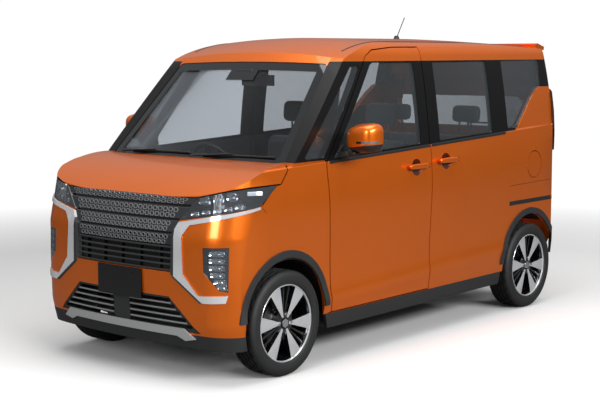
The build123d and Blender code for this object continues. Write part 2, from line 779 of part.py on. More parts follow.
def bonnet_region(grow=0.0):
    edge = [(y, z) for y, z in BONNET_EDGE]
    face = [(-y, z) for y, z in reversed(edge[1:])] + edge + [(800.0, 1300.0), (-800.0, 1300.0)]
    prism = front_prism(flat(face, grow), 1100.0, 1900.0)
    profile = flat([(1176.0, 1400.0), (1176.0, 1085.0), (1232.0, 1024.0), (1300.0, 930.0), (1800.0, 930.0), (1800.0, 1400.0)], grow)
    return prism & side_prism(profile, 900.0, -900.0, 0.0)


def make_bonnet():
    bonnet = minus(keep(bonnet_region(), low(0.0)), low, 26.0)
    bonnet = big(bonnet)
    x, z = BONNET_HINGE
    for side in (-1.0, 1.0):
        y = side * 560.0
        bonnet = cut(bonnet, box(1160.0, x + 14.0, y - 30.0, y + 30.0, 1060.0, z + 6.0))
        knuckle = across(x, z - 6.0, 7.0, y - 13.0, y + 13.0)
        arm = box(x, x + 20.0, y - 13.0, y + 13.0, z - 13.0, z + 4.0)
        knuckle = cut(join(knuckle, arm), across(x, z - 6.0, 3.5 + FIT, y - 50.0, y + 50.0))
        bonnet = join(bonnet, keep(knuckle, low(2.0)))
    put("bonnet", big(bonnet))


def make_nose():
    arch = arch_hole(FRONT_AXLE, ARCH_RADIUS, -900.0, 900.0)
    wing_face = flat([
        (804.0, 289.0),
        (834.0, 742.0),
        (853.0, 1096.0),
        (853.0, 1118.0),
        (1169.0, 1118.0),
        (1169.0, 1082.0),
        (1225.0, 1020.0),
        (1282.0, 1004.0),
        (1390.0, 912.0),
        (1352.0, 880.0),
        (1320.0, 800.0),
        (1320.0, 560.0),
        (1178.0, 281.0),
    ])
    wing = keep(side_prism(wing_face, 800.0, 646.0, 0.0), low(0.0))
    wing = cut(minus(wing, low, 4.0), arch, screen_face(1.0))
    wing = cut(wing, side_prism(flat(FRONT_DOOR, DOOR_GAP), 800.0, 500.0))
    wing = cut(wing, bonnet_region(6.0), corner_prism(HEADLAMP, FIT), corner_prism(SHIELD, FIT))
    wing = big(wing)
    wing = big(cut(wing, box(1160.0, 1171.0, 704.0, 712.0, 1096.0, 1106.0)))
    put("front_wings", wing, [flip(s) for s in wing])

    bumper = keep(box(1200.0, 1800.0, -800.0, 800.0, 262.3, 1000.0), low(0.0))
    bumper = cut(minus(bumper, low, 24.0), arch, bonnet_region(6.0), across(FRONT_AXLE, WHEEL_Z, HOUSE_RADIUS, -700.0, 700.0))
    fore = [(1320.3, 100.0), (1320.3, 800.0), (1352.3, 880.0), (1390.3, 912.0), (1300.0, 1100.0), (1100.0, 1100.0), (1100.0, 100.0)]
    bumper = cut(bumper, side_prism(flat(fore), 900.0, -900.0, 0.0))
    bumper = cut(bumper, front_prism(flat(UPPER_GRILLE)), front_prism(flat(LOWER_GRILLE)))
    for points in (HEADLAMP, SHIELD, BUMPER_LAMP):
        tool = corner_prism(points, FIT)
        bumper = cut(bumper, tool, flip(tool))
    put("front_bumper", big(bumper))

    lip = keep(box(1300.0, 1800.0, -800.0, 800.0, 186.0, 262.0), low(-1.0))
    lip = cut(minus(lip, low, 40.0), arch, across(FRONT_AXLE, WHEEL_Z, HOUSE_RADIUS, -700.0, 700.0))
    lip = big(lip)
    put("lower_cladding", lip)
    skid = keep(front_prism(flat(SKID)), low(-11.0))
    skid = cut(skid, low(-1.0 - FIT))
    put("skid_plate", big(skid))

    grille = keep(front_prism(flat(UPPER_GRILLE, -FIT), 1400.0), low(-4.0))
    grille = cut(minus(grille, low, 22.0), bonnet_region(6.0))
    for points in (HEADLAMP, SHIELD):
        tool = corner_prism(points, FIT)
        grille = cut(grille, tool, flip(tool))
    slots = [flat([(-340.0, z), (340.0, z), (340.0, z + 21.0), (-340.0, z + 21.0)]) for z in (590.0, 620.0, 650.0, 680.0)]
    for face in slots:
        grille = cut(grille, front_prism(face))
    put("upper_grille", big(grille))
    grille = keep(front_prism(flat(LOWER_GRILLE, -FIT), 1400.0), low(4.0))
    grille = minus(grille, low, 24.0)
    for z, half in ((292.0, 490.0), (324.0, 450.0), (356.0, 415.0), (388.0, 380.0), (418.0, 350.0)):
        for y0, y1 in ((-half, -60.0), (60.0, half)):
            grille = cut(grille, front_prism(flat([(y0, z), (y1, z), (y1, z + 20.0), (y0, z + 20.0)])))
    put("lower_grille", big(grille))

    lamp = keep(corner_prism(HEADLAMP), low(1.0))
    lamp = big(cut(minus(lamp, low, 60.0), bonnet_region(6.0)))
    put("front_lamps", lamp, [flip(s) for s in lamp])
    trim = keep(corner_prism(SHIELD), low(-6.0))
    trim = big(cut(minus(trim, low, 20.0), bonnet_region(6.0)))
    put("shield_trims", trim, [flip(s) for s in trim])
    lamp = keep(corner_prism(BUMPER_LAMP), low(1.0))
    lamp = big(minus(lamp, low, 40.0))
    put("front_lamps", lamp, [flip(s) for s in lamp])
    plate = box(1692.5, 1697.5, -167.0, 167.0, 418.0, 576.0)
    for y in (-105.0, 105.0):
        plate = cut(plate, rod((1680.0, y, 547.0), (1710.0, y, 547.0), 3.5))
    put("front_plate", plate)

    cowl = box(1010.0, 1163.0, -640.0, 640.0, 1062.0, 1116.0)
    cowl = cut(cowl, keep(screen_face(3.0), screen_side(11.0)))
    x, z = BONNET_HINGE
    cowl = big(cowl)
    for side in (-1.0, 1.0):
        y = side * 560.0
        cowl = cut(cowl, box(1140.0, 1200.0, y - 26.0, y + 26.0, z - 30.0, z + 40.0))
        ears = []
        for e in (-20.0, 20.0):
            ears.append(box(1150.0, x + 8.0, y + e - 4.0, y + e + 4.0, z - 34.0, z - 11.0))
            ears.append(box(x - 6.0, x + 8.0, y + e - 4.0, y + e + 4.0, z - 20.0, z + 1.0))
        pin = across(x, z - 6.0, 3.5, y - 24.0, y + 24.0)
        cowl = join(cowl, ears, pin)
    put("cowl_panel", cowl)


def make_trims():
    rings = []
    for axle in (FRONT_AXLE, REAR_AXLE):
        ring = cut(arch_hole(axle, TRIM_RADIUS, 690.0, 800.0), arch_hole(axle, ARCH_RADIUS + 1.0, 600.0, 900.0))
        ring = keep(ring, box(max(axle - 500.0, -1644.0), axle + 500.0, 600.0, 900.0, 330.0, 700.0))
        ring = keep(ring, low(-9.0))
        ring = cut(ring, low(0.0 - FIT))
        ring = cut(ring, side_prism(flat(FRONT_DOOR, DOOR_GAP), 850.0, 500.0), side_prism(flat(SLIDING_DOOR, DOOR_GAP), 850.0, 500.0))
        rings += big(ring)
    put("lower_cladding", rings, [flip(s) for s in rings])
    face = flat([(-966.0, 200.0), (-966.0, 280.0), (858.0, 280.0), (830.0, 200.0)])
    sill = keep(side_prism(face, 800.0, 600.0, 0.0), low(-3.0))
    sill = big(cut(sill, low(20.0)))
    put("lower_cladding", sill, [flip(s) for s in sill])


def wheel_pieces(x, y_sign, front):
    """One wheel at its place: rim with spokes and lugs, and its tyre."""
    outer = WHEEL_Y + TYRE_WIDTH / 2
    inner = WHEEL_Y - TYRE_WIDTH / 2
    profile = [
        (192.0, inner + 12.0),
        (206.0, inner + 12.0),
        (206.0, inner + 20.0),
        (198.0, inner + 26.0),
        (198.0, outer - 26.0),
        (206.0, outer - 20.0),
        (206.0, outer - 10.0),
        (196.0, outer - 10.0),
        (188.0, outer - 24.0),
        (188.0, inner + 26.0),
    ]
    barrel = turn(profile, x)
    dish = turn([(14.0 + FIT, outer - 62.0), (62.0, outer - 62.0), (62.0, outer - 34.0), (14.0 + FIT, outer - 34.0)], x)
    rim = join(barrel, dish)
    for i in range(6):
        spoke = spoke_block(x, outer, 18.0, 34.0, 30.0 + 60.0 * i)
        rim = join(rim, spoke)
    for i in range(3):
        spoke = spoke_block(x, outer - 6.0, 9.0, 10.0, 60.0 + 120.0 * i)
        rim = join(rim, spoke)
    for i in range(4):
        a = math.radians(45.0 + 90.0 * i)
        px = x + 50.0 * math.cos(a)
        pz = WHEEL_Z + 50.0 * math.sin(a)
        rim = join(rim, rod((px, outer - 40.0, pz), (px, outer - 16.0, pz), 9.0))
    rim = join(rim, across(x, WHEEL_Z, 27.0, outer - 36.0, outer - 24.0))
    tyre = turn([
        (206.0 + FIT, inner + 13.0),
        (214.0, inner + 4.0),
        (240.0, inner),
        (268.0, inner + 6.0),
        (281.0, inner + 22.0),
        (281.0, outer - 22.0),
        (268.0, outer - 6.0),
        (240.0, outer),
        (214.0, outer - 4.0),
        (206.0 + FIT, outer - 11.0),
        (206.0 + FIT, outer - 20.0),
        (206.0 + FIT, inner + 20.0),
    ], x)
    pieces = {"rim": rim, "tyre": tyre}
    if front:
        disc = turn([(30.0, outer - 84.0), (118.0, outer - 84.0), (118.0, outer - 70.0), (64.0, outer - 70.0), (64.0, outer - 62.0 - FIT), (14.0 + FIT, outer - 62.0 - FIT), (14.0 + FIT, outer - 76.0), (30.0, outer - 76.0)], x)
        pieces["disc"] = disc
    return {k: [flip(s) if y_sign < 0 else s for s in solids_of(v)] for k, v in pieces.items()}


def turn(profile, x):
    """Turn a closed profile of radius and y about a wheel's axle."""
    pts = [vec(r, y, 0) for r, y in profile]
    face = Face(Wire.make_polygon(pts))
    body = Solid.revolve(face, 360.0, Axis(vec(0, 0, 0), vec(0, 1, 0)))
    return body.moved(Location((x, 0, WHEEL_Z)))


def spoke_block(x, outer, half_in, half_out, angle):
    pts = [(40.0, -half_in), (192.0, -half_out), (192.0, half_out), (40.0, half_in)]
    face = flat(pts)
    blade = Solid.extrude(Plane(origin=(0, outer - 34.0, 0), x_dir=(1, 0, 0), z_dir=(0, 1, 0)) * face, vec(0, 20.0, 0))
    return blade.rotate(Axis(vec(0, 0, 0), vec(0, 1, 0)), angle).moved(Location((x, 0, WHEEL_Z)))


def make_wheels():
    for end, x in (("front", FRONT_AXLE), ("rear", REAR_AXLE)):
        for side, sign in (("left", 1), ("right", -1)):
            made = wheel_pieces(x, sign, end == "front")
            put(f"rim_{end}_{side}", made["rim"])
            put(f"tyre_{end}_{side}", made["tyre"])
            if end == "front":
                put(f"brake_disc_{side}", made["disc"])


def make_running_gear():
    x = FRONT_AXLE
    ball = (x, 600.0, 176.0)
    top = (x, 505.0, 752.0)
    lean = vec(0, top[1] - ball[1], top[2] - ball[2]).normalized()
    lower = vec(*ball) - lean * 14.0
    upper = vec(*top)
    upright = box(x - 30.0, x + 30.0, 545.0, 584.0, 196.0, 372.0)
    stub = across(x, WHEEL_Z, 14.0, 560.0, WHEEL_Y + 34.0)
    boss = across(x, WHEEL_Z, 28.0, 560.0, WHEEL_Y + TYRE_WIDTH / 2 - 88.0)
    foot = box(x - 20.0, x + 20.0, 560.0, 618.0, 190.0, 206.0)
    ball_pin = rod(tuple(vec(*ball) - lean * 14.0), tuple(vec(*ball) + lean * 20.0), 8.0)
    bracket = box(x - 22.0, x + 22.0, 500.0, 556.0, 316.0, 400.0)
    strut = rod((x, 526.0, 380.0), tuple(top), 19.0)
    spring = rod((x, 514.0, 596.0), (x, 508.0, 716.0), 46.0)
    cap = rod(tuple(top), tuple(upper + lean * 34.0), 9.0)
    caliper = box(x - 132.0, x - 86.0, 574.0, 636.0, WHEEL_Z - 46.0, WHEEL_Z + 46.0)
    outer = WHEEL_Y + TYRE_WIDTH / 2
    slot = across(x, WHEEL_Z, 121.0, outer - 87.0, outer - 67.0)
    caliper = cut(caliper, slot)
    arm = box(x - 100.0, x - 20.0, 560.0, 584.0, WHEEL_Z - 20.0, WHEEL_Z + 20.0)
    knuckle = join(upright, stub, boss, foot, ball_pin, bracket, strut, spring, cap, arm, caliper)
    knuckle = big(knuckle)
    put("knuckle_left", knuckle)
    put("knuckle_right", [flip(s) for s in knuckle])

    arm_left = box(x - 22.0, x + 22.0, 340.0, 622.0, 160.0, 178.0)
    arm_left = cut(arm_left, rod(tuple(vec(*ball) - lean * 60.0), tuple(vec(*ball) + lean * 60.0), 8.0 + FIT))
    frame = box(1010.0, 1330.0, -345.0, 345.0, 160.0, 196.0)
    frame = join(frame, arm_left, [flip(s) for s in arm_left])
    put("front_subframe", frame)

    beam = box(REAR_AXLE + 60.0, REAR_AXLE + 110.0, -500.0, 500.0, 255.0, 305.0)
    for s in (1.0, -1.0):
        y0 = min(s * 455.0, s * 505.0)
        beam = join(beam, box(REAR_AXLE - 30.0, REAR_AXLE + 306.7, y0, y0 + 50.0, 250.0, 310.0))
        beam = join(beam, across(REAR_AXLE, WHEEL_Z, 34.0, min(s * 470.0, s * 560.0), max(s * 470.0, s * 560.0)))
        drum = across(REAR_AXLE, WHEEL_Z, 105.0, min(s * 560.0, s * 640.0), max(s * 560.0, s * 640.0))
        beam = join(beam, drum, across(REAR_AXLE, WHEEL_Z, 14.0, min(s * 600.0, s * 679.0), max(s * 600.0, s * 679.0)))
        beam = join(beam, box(REAR_AXLE - 30.0, REAR_AXLE + 30.0, y0, y0 + 50.0, 290.0, 386.0))
    put("rear_axle", beam)


def make_floor():
    main = box(-1010.0, 905.0, -640.0, 640.0, FLOOR_Z, FLOOR_TOP)
    step = box(-1010.0, -990.0, -640.0, 640.0, FLOOR_TOP, 386.0)
    deck = box(-1629.7, -990.0, -640.0, 640.0, 386.0, 410.0)
    tail = box(-1629.7, -1612.0, -600.0, 600.0, 300.0, 470.0)
    floor = join(main, step, deck, tail)
    for s in (1.0, -1.0):
        floor = cut(floor, across(REAR_AXLE, WHEEL_Z, 346.0 + FIT, min(s * 529.0, s * 800.0), max(s * 529.0, s * 800.0)))
        floor = cut(floor, across(FRONT_AXLE, WHEEL_Z, 350.0, min(s * 380.0, s * 800.0), max(s * 380.0, s * 800.0)))
    put("floor_pan", big(floor))
    wall = box(905.3, 925.0, -640.0, 640.0, FLOOR_Z, 1061.7)
    rails = [box(925.0, 1560.0, s * 350.0 - 28.0, s * 350.0 + 28.0, 380.0, 450.0) for s in (1.0, -1.0)]
    front = box(1540.0, 1560.0, -470.0, 470.0, 300.0, 800.0)
    hole = box(1500.0, 1600.0, -330.0, 330.0, 330.0, 760.0)
    front = cut(front, hole)
    bay = join(wall, rails, front)
    for s in (1.0, -1.0):
        bay = cut(bay, across(FRONT_AXLE, WHEEL_Z, 341.0, min(s * 391.0, s * 800.0), max(s * 391.0, s * 800.0)))
    houses = []
    for s in (1.0, -1.0):
        y_in = 388.0
        outer = keep(across(FRONT_AXLE, WHEEL_Z, 344.0, min(s * y_in, s * 728.0), max(s * y_in, s * 728.0)), box(800.0, 1540.0, -800.0, 800.0, WHEEL_Z + 10.0, 700.0))
        outer = cut(outer, across(FRONT_AXLE, WHEEL_Z, 338.0, min(s * 395.0, s * 800.0), max(s * 395.0, s * 800.0)))
        ahead = box(1320.0, 1540.0, min(s * 380.0, s * 800.0), max(s * 380.0, s * 800.0), 200.0, 800.0)
        outer = cut(keep(outer, low(5.0)), cut(ahead, low(24.3 + 0.6)))
        outer = cut(outer, box(800.0, 905.3, min(s * 708.0, s * 800.0), max(s * 708.0, s * 800.0), 200.0, 800.0))
        tower = box(FRONT_AXLE - 68.0, FRONT_AXLE + 68.0, min(s * 390.0, s * 570.0), max(s * 390.0, s * 570.0), 760.0, 784.0)
        cheek = [box(FRONT_AXLE + e - 4.0, FRONT_AXLE + e + 4.0, min(s * 390.0, s * 570.0), max(s * 390.0, s * 570.0), 600.0, 784.0) for e in (-64.0, 64.0)]
        well = box(FRONT_AXLE - 60.0, FRONT_AXLE + 60.0, min(s * 394.0, s * 576.0), max(s * 394.0, s * 576.0), 400.0, 760.0)
        piece = cut(join(big(outer), tower, cheek), well)
        lean = vec(0, s * (505.0 - 600.0), 752.0 - 176.0).normalized()
        top = vec(FRONT_AXLE, s * 505.0, 752.0)
        piece = cut(piece, rod(tuple(top - lean * 60.0), tuple(top + lean * 80.0), 9.0 + FIT))
        houses += big(piece)
    for house in houses:
        bay = join(bay, house)
    put("front_structure", bay)

    engine = box(990.0, 1500.0, -300.0, 300.0, 196.0 + FIT, 760.0)
    engine = engine.fillet(20.0, engine.edges())
    put("engine_block", engine)
    put("fuel_tank", box(-900.0, -380.0, -300.0, 300.0, 162.0, FLOOR_Z - FIT))
    pipe = rod((985.0, 350.0, 186.0), (-1040.0, 350.0, 186.0), 14.0)
    pipe = join(pipe, rod((-1040.0, 350.0, 186.0), (-1150.0, 330.0, 230.0), 14.0), rod((-1150.0, 330.0, 230.0), (-1480.0, 330.0, 232.0), 14.0))
    muffler = box(-1625.0, -1470.0, 80.0, 400.0, 190.0, 290.0)
    hangers = [box(x - 10.0, x + 10.0, 342.0, 358.0, 190.0, FLOOR_Z - FIT) for x in (600.0, -300.0, -950.0)]
    hangers.append(rod((-1550.0, 240.0, 280.0), (-1550.0, 240.0, 386.0 - FIT), 8.0))
    put("exhaust", join(pipe, muffler.fillet(20.0, muffler.edges()), hangers))


def make_cabin():
    profile = flat([(904.7, 640.0), (904.7, 1040.0), (1010.0, 1061.0), (990.0, 1090.0), (860.0, 1075.0), (700.0, 1010.0), (640.0, 950.0), (640.0, 850.0), (740.0, 780.0), (780.0, 640.0)])
    dash = side_prism(profile, 627.0, -627.0, 0.0)
    dash = cut(dash, box(905.0, 1200.0, -900.0, 900.0, 0.0, 1062.0))
    axis = vec(-math.cos(math.radians(28.0)), 0, math.sin(math.radians(28.0)))
    hub = vec(*STEER_HUB)
    cowl = rod(tuple(hub - axis * 40.0), tuple(hub - axis * 190.0), 34.0)
    dash = cut(join(dash, cowl), rod(tuple(hub - axis * 30.0), tuple(hub - axis * 120.0), 12.0 + FIT))
    put("dashboard", big(dash))
    ring = Solid.make_torus(178.0, 14.0, Plane(origin=hub, z_dir=axis))
    boss = rod(tuple(hub - axis * 34.0), tuple(hub + axis * 6.0), 46.0)
    shaft = rod(tuple(hub - axis * 110.0), tuple(hub), 12.0)
    frame = Plane(origin=hub, x_dir=(0, 1, 0), z_dir=axis)
    bar = frame * Location((0, 0, -8)) * Box(350.0, 36.0, 12.0)
    post = frame * Location((0, -90.0, -8)) * Box(40.0, 176.0, 12.0)
    put("steering_wheel", join(ring, boss, shaft, bar.solids()[0], post.solids()[0]))

    seats = []
    for y in (-330.0, 330.0):
        cushion = box(-140.0, 360.0, y - 250.0, y + 250.0, 470.0, 640.0)
        cushion = cushion.fillet(36.0, cushion.edges())
        back_face = flat([(-150.0, 560.0), (-20.0, 580.0), (-110.0, 1200.0), (-230.0, 1190.0)], 0.0, 30.0)
        back = side_prism(back_face, y + 240.0, y - 240.0, 0.0)
        base = box(-100.0, 300.0, y - 180.0, y + 180.0, FLOOR_TOP, 500.0)
        head_face = flat([(-240.0, 1230.0), (-130.0, 1236.0), (-150.0, 1400.0), (-240.0, 1400.0)], 0.0, 26.0)
        head = side_prism(head_face, y + 130.0, y - 130.0, 0.0)
        posts = [rod((-178.0, y + e, 1180.0), (-185.0, y + e, 1260.0), 7.0) for e in (-50.0, 50.0)]
        seats.append(join(cushion, back, base, head, posts))
    put("front_seats", seats)
    cushion = box(-1130.0, -640.0, -520.0, 520.0, 470.0, 640.0)
    cushion = cushion.fillet(36.0, cushion.edges())
    back_face = flat([(-1180.0, 560.0), (-1040.0, 580.0), (-1150.0, 1180.0), (-1250.0, 1180.0)], 0.0, 30.0)
    back = side_prism(back_face, 520.0, -520.0, 0.0)
    base = box(-985.0, -700.0, -480.0, 480.0, FLOOR_TOP + FIT, 500.0)
    heads = []
    for y in (-280.0, 280.0):
        face = flat([(-1270.0, 1205.0), (-1170.0, 1205.0), (-1190.0, 1350.0), (-1270.0, 1350.0)], 0.0, 26.0)
        heads.append(side_prism(face, y + 120.0, y - 120.0, 0.0))
        heads += [rod((-1205.0, y + e, 1160.0), (-1215.0, y + e, 1230.0), 7.0) for e in (-45.0, 45.0)]
    put("rear_seat", join(cushion, back, base, heads))


STEER_HUB = (575.0, -345.0, 985.0)


def on_screen(y, z, out):
    """A point that stands out from the windscreen by the given distance."""
    return (1158.0 - (z - 1112.0) * 488.0 / 516.0 - y * y / 13400.0 + out * 710.2 / 516.0, y, z)


def make_wipers():
    made = []
    for y0, y1 in ((-560.0, -20.0), (20.0, 580.0)):
        x, _, _ = on_screen(y0, 1118.0, 8.0)
        stem = keep(rod((x, y0, 1100.0), (x, y0, 1132.0), 8.0), screen_side(4.0 - FIT))
        arm = rod((x, y0, 1128.0), on_screen(y0 + 0.5 * (y1 - y0), 1146.0, 9.0), 5.0)
        blade = rod(on_screen(y0 + 60.0, 1134.0, 3.0), on_screen(y1, 1140.0, 3.0), 6.0)
        wiper = keep(join(stem, arm, blade), screen_side(4.0 - FIT))
        made.append(cut(wiper, box(1000.0, 1163.0, -640.0, 640.0, 1062.0, 1116.0 + FIT), box(1150.0, 1200.0, -640.0, 640.0, 1000.0, 1112.0)))
    put("wipers", [big(m) for m in made])


def finish():
    os.makedirs("parts", exist_ok=True)
    for name, pieces in nodes.items():
        export_step(Compound(pieces), os.path.join("parts", name + ".step"))


def main():
    make_sides()
    make_doors()
    make_mirrors()
    make_fuel_lid()
    make_roof()
    make_screen()
    make_tail()
    make_bonnet()
    make_nose()
    make_trims()
    make_wheels()
    make_running_gear()
    make_floor()
    make_cabin()
    make_wipers()
    finish()


main()
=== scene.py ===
import json
import math

import bmesh
import bpy
from mathutils import Matrix, Vector
from mathutils.bvhtree import BVHTree


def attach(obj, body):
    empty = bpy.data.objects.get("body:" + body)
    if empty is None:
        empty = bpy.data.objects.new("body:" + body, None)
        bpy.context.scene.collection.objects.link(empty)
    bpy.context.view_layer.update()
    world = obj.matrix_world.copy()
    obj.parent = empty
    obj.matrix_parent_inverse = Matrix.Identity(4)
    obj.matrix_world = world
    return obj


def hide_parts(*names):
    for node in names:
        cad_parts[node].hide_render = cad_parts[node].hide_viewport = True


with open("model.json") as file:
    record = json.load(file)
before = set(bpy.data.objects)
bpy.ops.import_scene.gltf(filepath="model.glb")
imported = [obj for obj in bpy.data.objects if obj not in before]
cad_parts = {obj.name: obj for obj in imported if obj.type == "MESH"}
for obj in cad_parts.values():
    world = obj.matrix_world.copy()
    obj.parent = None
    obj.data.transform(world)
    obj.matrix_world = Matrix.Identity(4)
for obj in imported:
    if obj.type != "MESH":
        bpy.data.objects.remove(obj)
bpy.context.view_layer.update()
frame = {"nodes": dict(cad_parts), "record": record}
print("frame loaded")


# small helpers for node trees
def addNode(tree, kind, settings=None, **inputs):
    made = tree.nodes.new(kind)
    for key, value in (settings or {}).items():
        setattr(made, key, value)
    for key, value in inputs.items():
        made.inputs[key.replace("_", " ")].default_value = value
    return made


def calc(tree, operation, *values):
    made = tree.nodes.new("ShaderNodeMath")
    made.operation = operation
    for slot, value in zip(made.inputs, values):
        if isinstance(value, (int, float)):
            slot.default_value = value
        else:
            tree.links.new(value, slot)
    return made.outputs[0]


def objectPlace(tree):
    place = tree.nodes.new("ShaderNodeTexCoord").outputs["Object"]
    parts = tree.nodes.new("ShaderNodeSeparateXYZ")
    tree.links.new(place, parts.inputs[0])
    return place, parts.outputs[0], parts.outputs[1], parts.outputs[2]


def mixColour(tree, factor, a, b):
    made = tree.nodes.new("ShaderNodeMix")
    made.data_type = "RGBA"
    for slot, value in ((made.inputs[0], factor), (made.inputs[6], a), (made.inputs[7], b)):
        if isinstance(value, (int, float, tuple)):
            slot.default_value = value
        else:
            tree.links.new(value, slot)
    return made.outputs[2]


def noise(tree, place, scale, detail=2.0):
    made = addNode(tree, "ShaderNodeTexNoise", Scale=scale, Detail=detail)
    tree.links.new(place, made.inputs["Vector"])
    return made.outputs["Fac"]


def bumpInto(tree, shader, height, strength, distance):
    made = addNode(tree, "ShaderNodeBump", Strength=strength, Distance=distance)
    tree.links.new(height, made.inputs["Height"])
    tree.links.new(made.outputs[0], shader.inputs["Normal"])


def linear(r, g, b):
    return tuple(
        (v / 255 / 12.92) if v < 10.3 else ((v / 255 + 0.055) / 1.055) ** 2.4 for v in (r, g, b)
    ) + (1.0,)


def newMaterial(name, colour, roughness, metallic=0.0, coat=0.0):
    mat = bpy.data.materials.new(name)
    mat.use_nodes = True
    tree = mat.node_tree
    shader = tree.nodes["Principled BSDF"]
    shader.inputs["Base Color"].default_value = colour
    shader.inputs["Roughness"].default_value = roughness
    shader.inputs["Metallic"].default_value = metallic
    shader.inputs["Coat Weight"].default_value = coat
    shader.inputs["Coat Roughness"].default_value = 0.03
    return mat, tree, shader


paint = {
    "colour": (0.86, 0.172, 0.006, 1.0),
    "deep": (0.74, 0.132, 0.004, 1.0),
    "metallic": 0.74,
    "roughness": 0.30,
    "coat": 0.5,
    "flakeScale": 2600.0,
}
# the black band of the windows: the belt line, the rising fin behind it and the trim inside the car
band = {
    "belt": 1.1435, "slope": -0.0405, "top": 1.641, "black": (0.004, 0.004, 0.0045, 1.0),
    "finTop": 1.462, "finFoot": 1.206, "finStart": 1.15, "finRise": 0.9, "finGate": -1.13,
    "inside": 0.701, "insideFrom": 1.1, "insideLean": -0.2, "insideEnd": -1.5, "insideGrey": (48, 48, 50),
}


def paintMaterial(name, banded=False):
    mat, tree, shader = newMaterial(
        name, paint["colour"], paint["roughness"], paint["metallic"], paint["coat"]
    )
    place, x, y, z = objectPlace(tree)
    flakes = addNode(tree, "ShaderNodeTexVoronoi", Scale=paint["flakeScale"])
    tree.links.new(place, flakes.inputs["Vector"])
    grain = calc(tree, "MULTIPLY", flakes.outputs["Distance"], 0.9)
    drift = noise(tree, place, 3.0)
    share = calc(tree, "MULTIPLY", calc(tree, "ADD", grain, drift), 0.45)
    colour = mixColour(tree, share, paint["colour"], paint["deep"])
    bumpInto(tree, shader, noise(tree, place, 900.0, 1.0), 0.05, 0.0004)
    if banded:
        belt = calc(tree, "MULTIPLY_ADD", x, band["slope"], band["belt"])
        back = calc(tree, "MAXIMUM", calc(tree, "MULTIPLY_ADD", x, -1.0, -band["finStart"]), 0.0)
        slant = calc(tree, "MULTIPLY_ADD", back, band["finRise"], band["finFoot"])
        fin = calc(tree, "MINIMUM", slant, band["finTop"])
        gate = calc(tree, "LESS_THAN", x, band["finGate"])
        line = calc(tree, "MAXIMUM", belt, calc(tree, "MULTIPLY", fin, gate))
        below = calc(tree, "LESS_THAN", z, band["top"])
        black = calc(tree, "MULTIPLY", calc(tree, "GREATER_THAN", z, line), below)
        over = calc(tree, "MAXIMUM", calc(tree, "SUBTRACT", z, band["insideFrom"]), 0.0)
        reach = calc(tree, "MULTIPLY_ADD", over, band["insideLean"], band["inside"])
        inside = calc(tree, "LESS_THAN", calc(tree, "ABSOLUTE", y), reach)
        low = calc(tree, "LESS_THAN", z, line)
        ahead = calc(tree, "GREATER_THAN", x, band["insideEnd"])
        trim = calc(tree, "MULTIPLY", calc(tree, "MULTIPLY", inside, low), ahead)
        colour = mixColour(tree, black, colour, band["black"])
        colour = mixColour(tree, trim, colour, linear(*band["insideGrey"]))
        dull = calc(tree, "MAXIMUM", black, trim)
        bright = calc(tree, "SUBTRACT", 1.0, dull)
        tree.links.new(calc(tree, "MULTIPLY", bright, paint["metallic"]), shader.inputs["Metallic"])
        tree.links.new(calc(tree, "MULTIPLY_ADD", trim, 0.3, paint["roughness"]), shader.inputs["Roughness"])
        tree.links.new(calc(tree, "MULTIPLY_ADD", dull, -0.55, paint["coat"]), shader.inputs["Coat Weight"])
        tree.links.new(calc(tree, "MULTIPLY_ADD", dull, -0.3, 0.5), shader.inputs["Specular IOR Level"])
    tree.links.new(colour, shader.inputs["Base Color"])
    return mat


def plasticMaterial(name, rgb, roughness, grain=700.0, strength=0.25):
    mat, tree, shader = newMaterial(name, linear(*rgb), roughness)
    place = objectPlace(tree)[0]
    cells = addNode(tree, "ShaderNodeTexVoronoi", Scale=grain)
    tree.links.new(place, cells.inputs["Vector"])
    worn = noise(tree, place, 14.0)
    pale = tuple(min(1.0, c * 1.5 + 0.004) for c in linear(*rgb)[:3]) + (1.0,)
    tree.links.new(
        mixColour(tree, calc(tree, "MULTIPLY", worn, 0.55), linear(*rgb), pale),
        shader.inputs["Base Color"]
    )
    tree.links.new(calc(tree, "MULTIPLY_ADD", worn, 0.14, roughness - 0.06), shader.inputs["Roughness"])
    bumpInto(tree, shader, cells.outputs["Distance"], strength, 0.0006)
    return mat


def metalMaterial(name, rgb, roughness, metallic=1.0, scale=60.0, strength=0.06, coat=0.0):
    mat, tree, shader = newMaterial(name, linear(*rgb), roughness, metallic, coat)
    place = objectPlace(tree)[0]
    grain = noise(tree, place, scale, 4.0)
    dark = tuple(c * 0.8 for c in linear(*rgb)[:3]) + (1.0,)
    tree.links.new(mixColour(tree, grain, linear(*rgb), dark), shader.inputs["Base Color"])
    tree.links.new(
        calc(tree, "MULTIPLY_ADD", grain, 0.1, max(roughness - 0.05, 0.02)), shader.inputs["Roughness"]
    )
    bumpInto(tree, shader, grain, strength, 0.0004)
    return mat


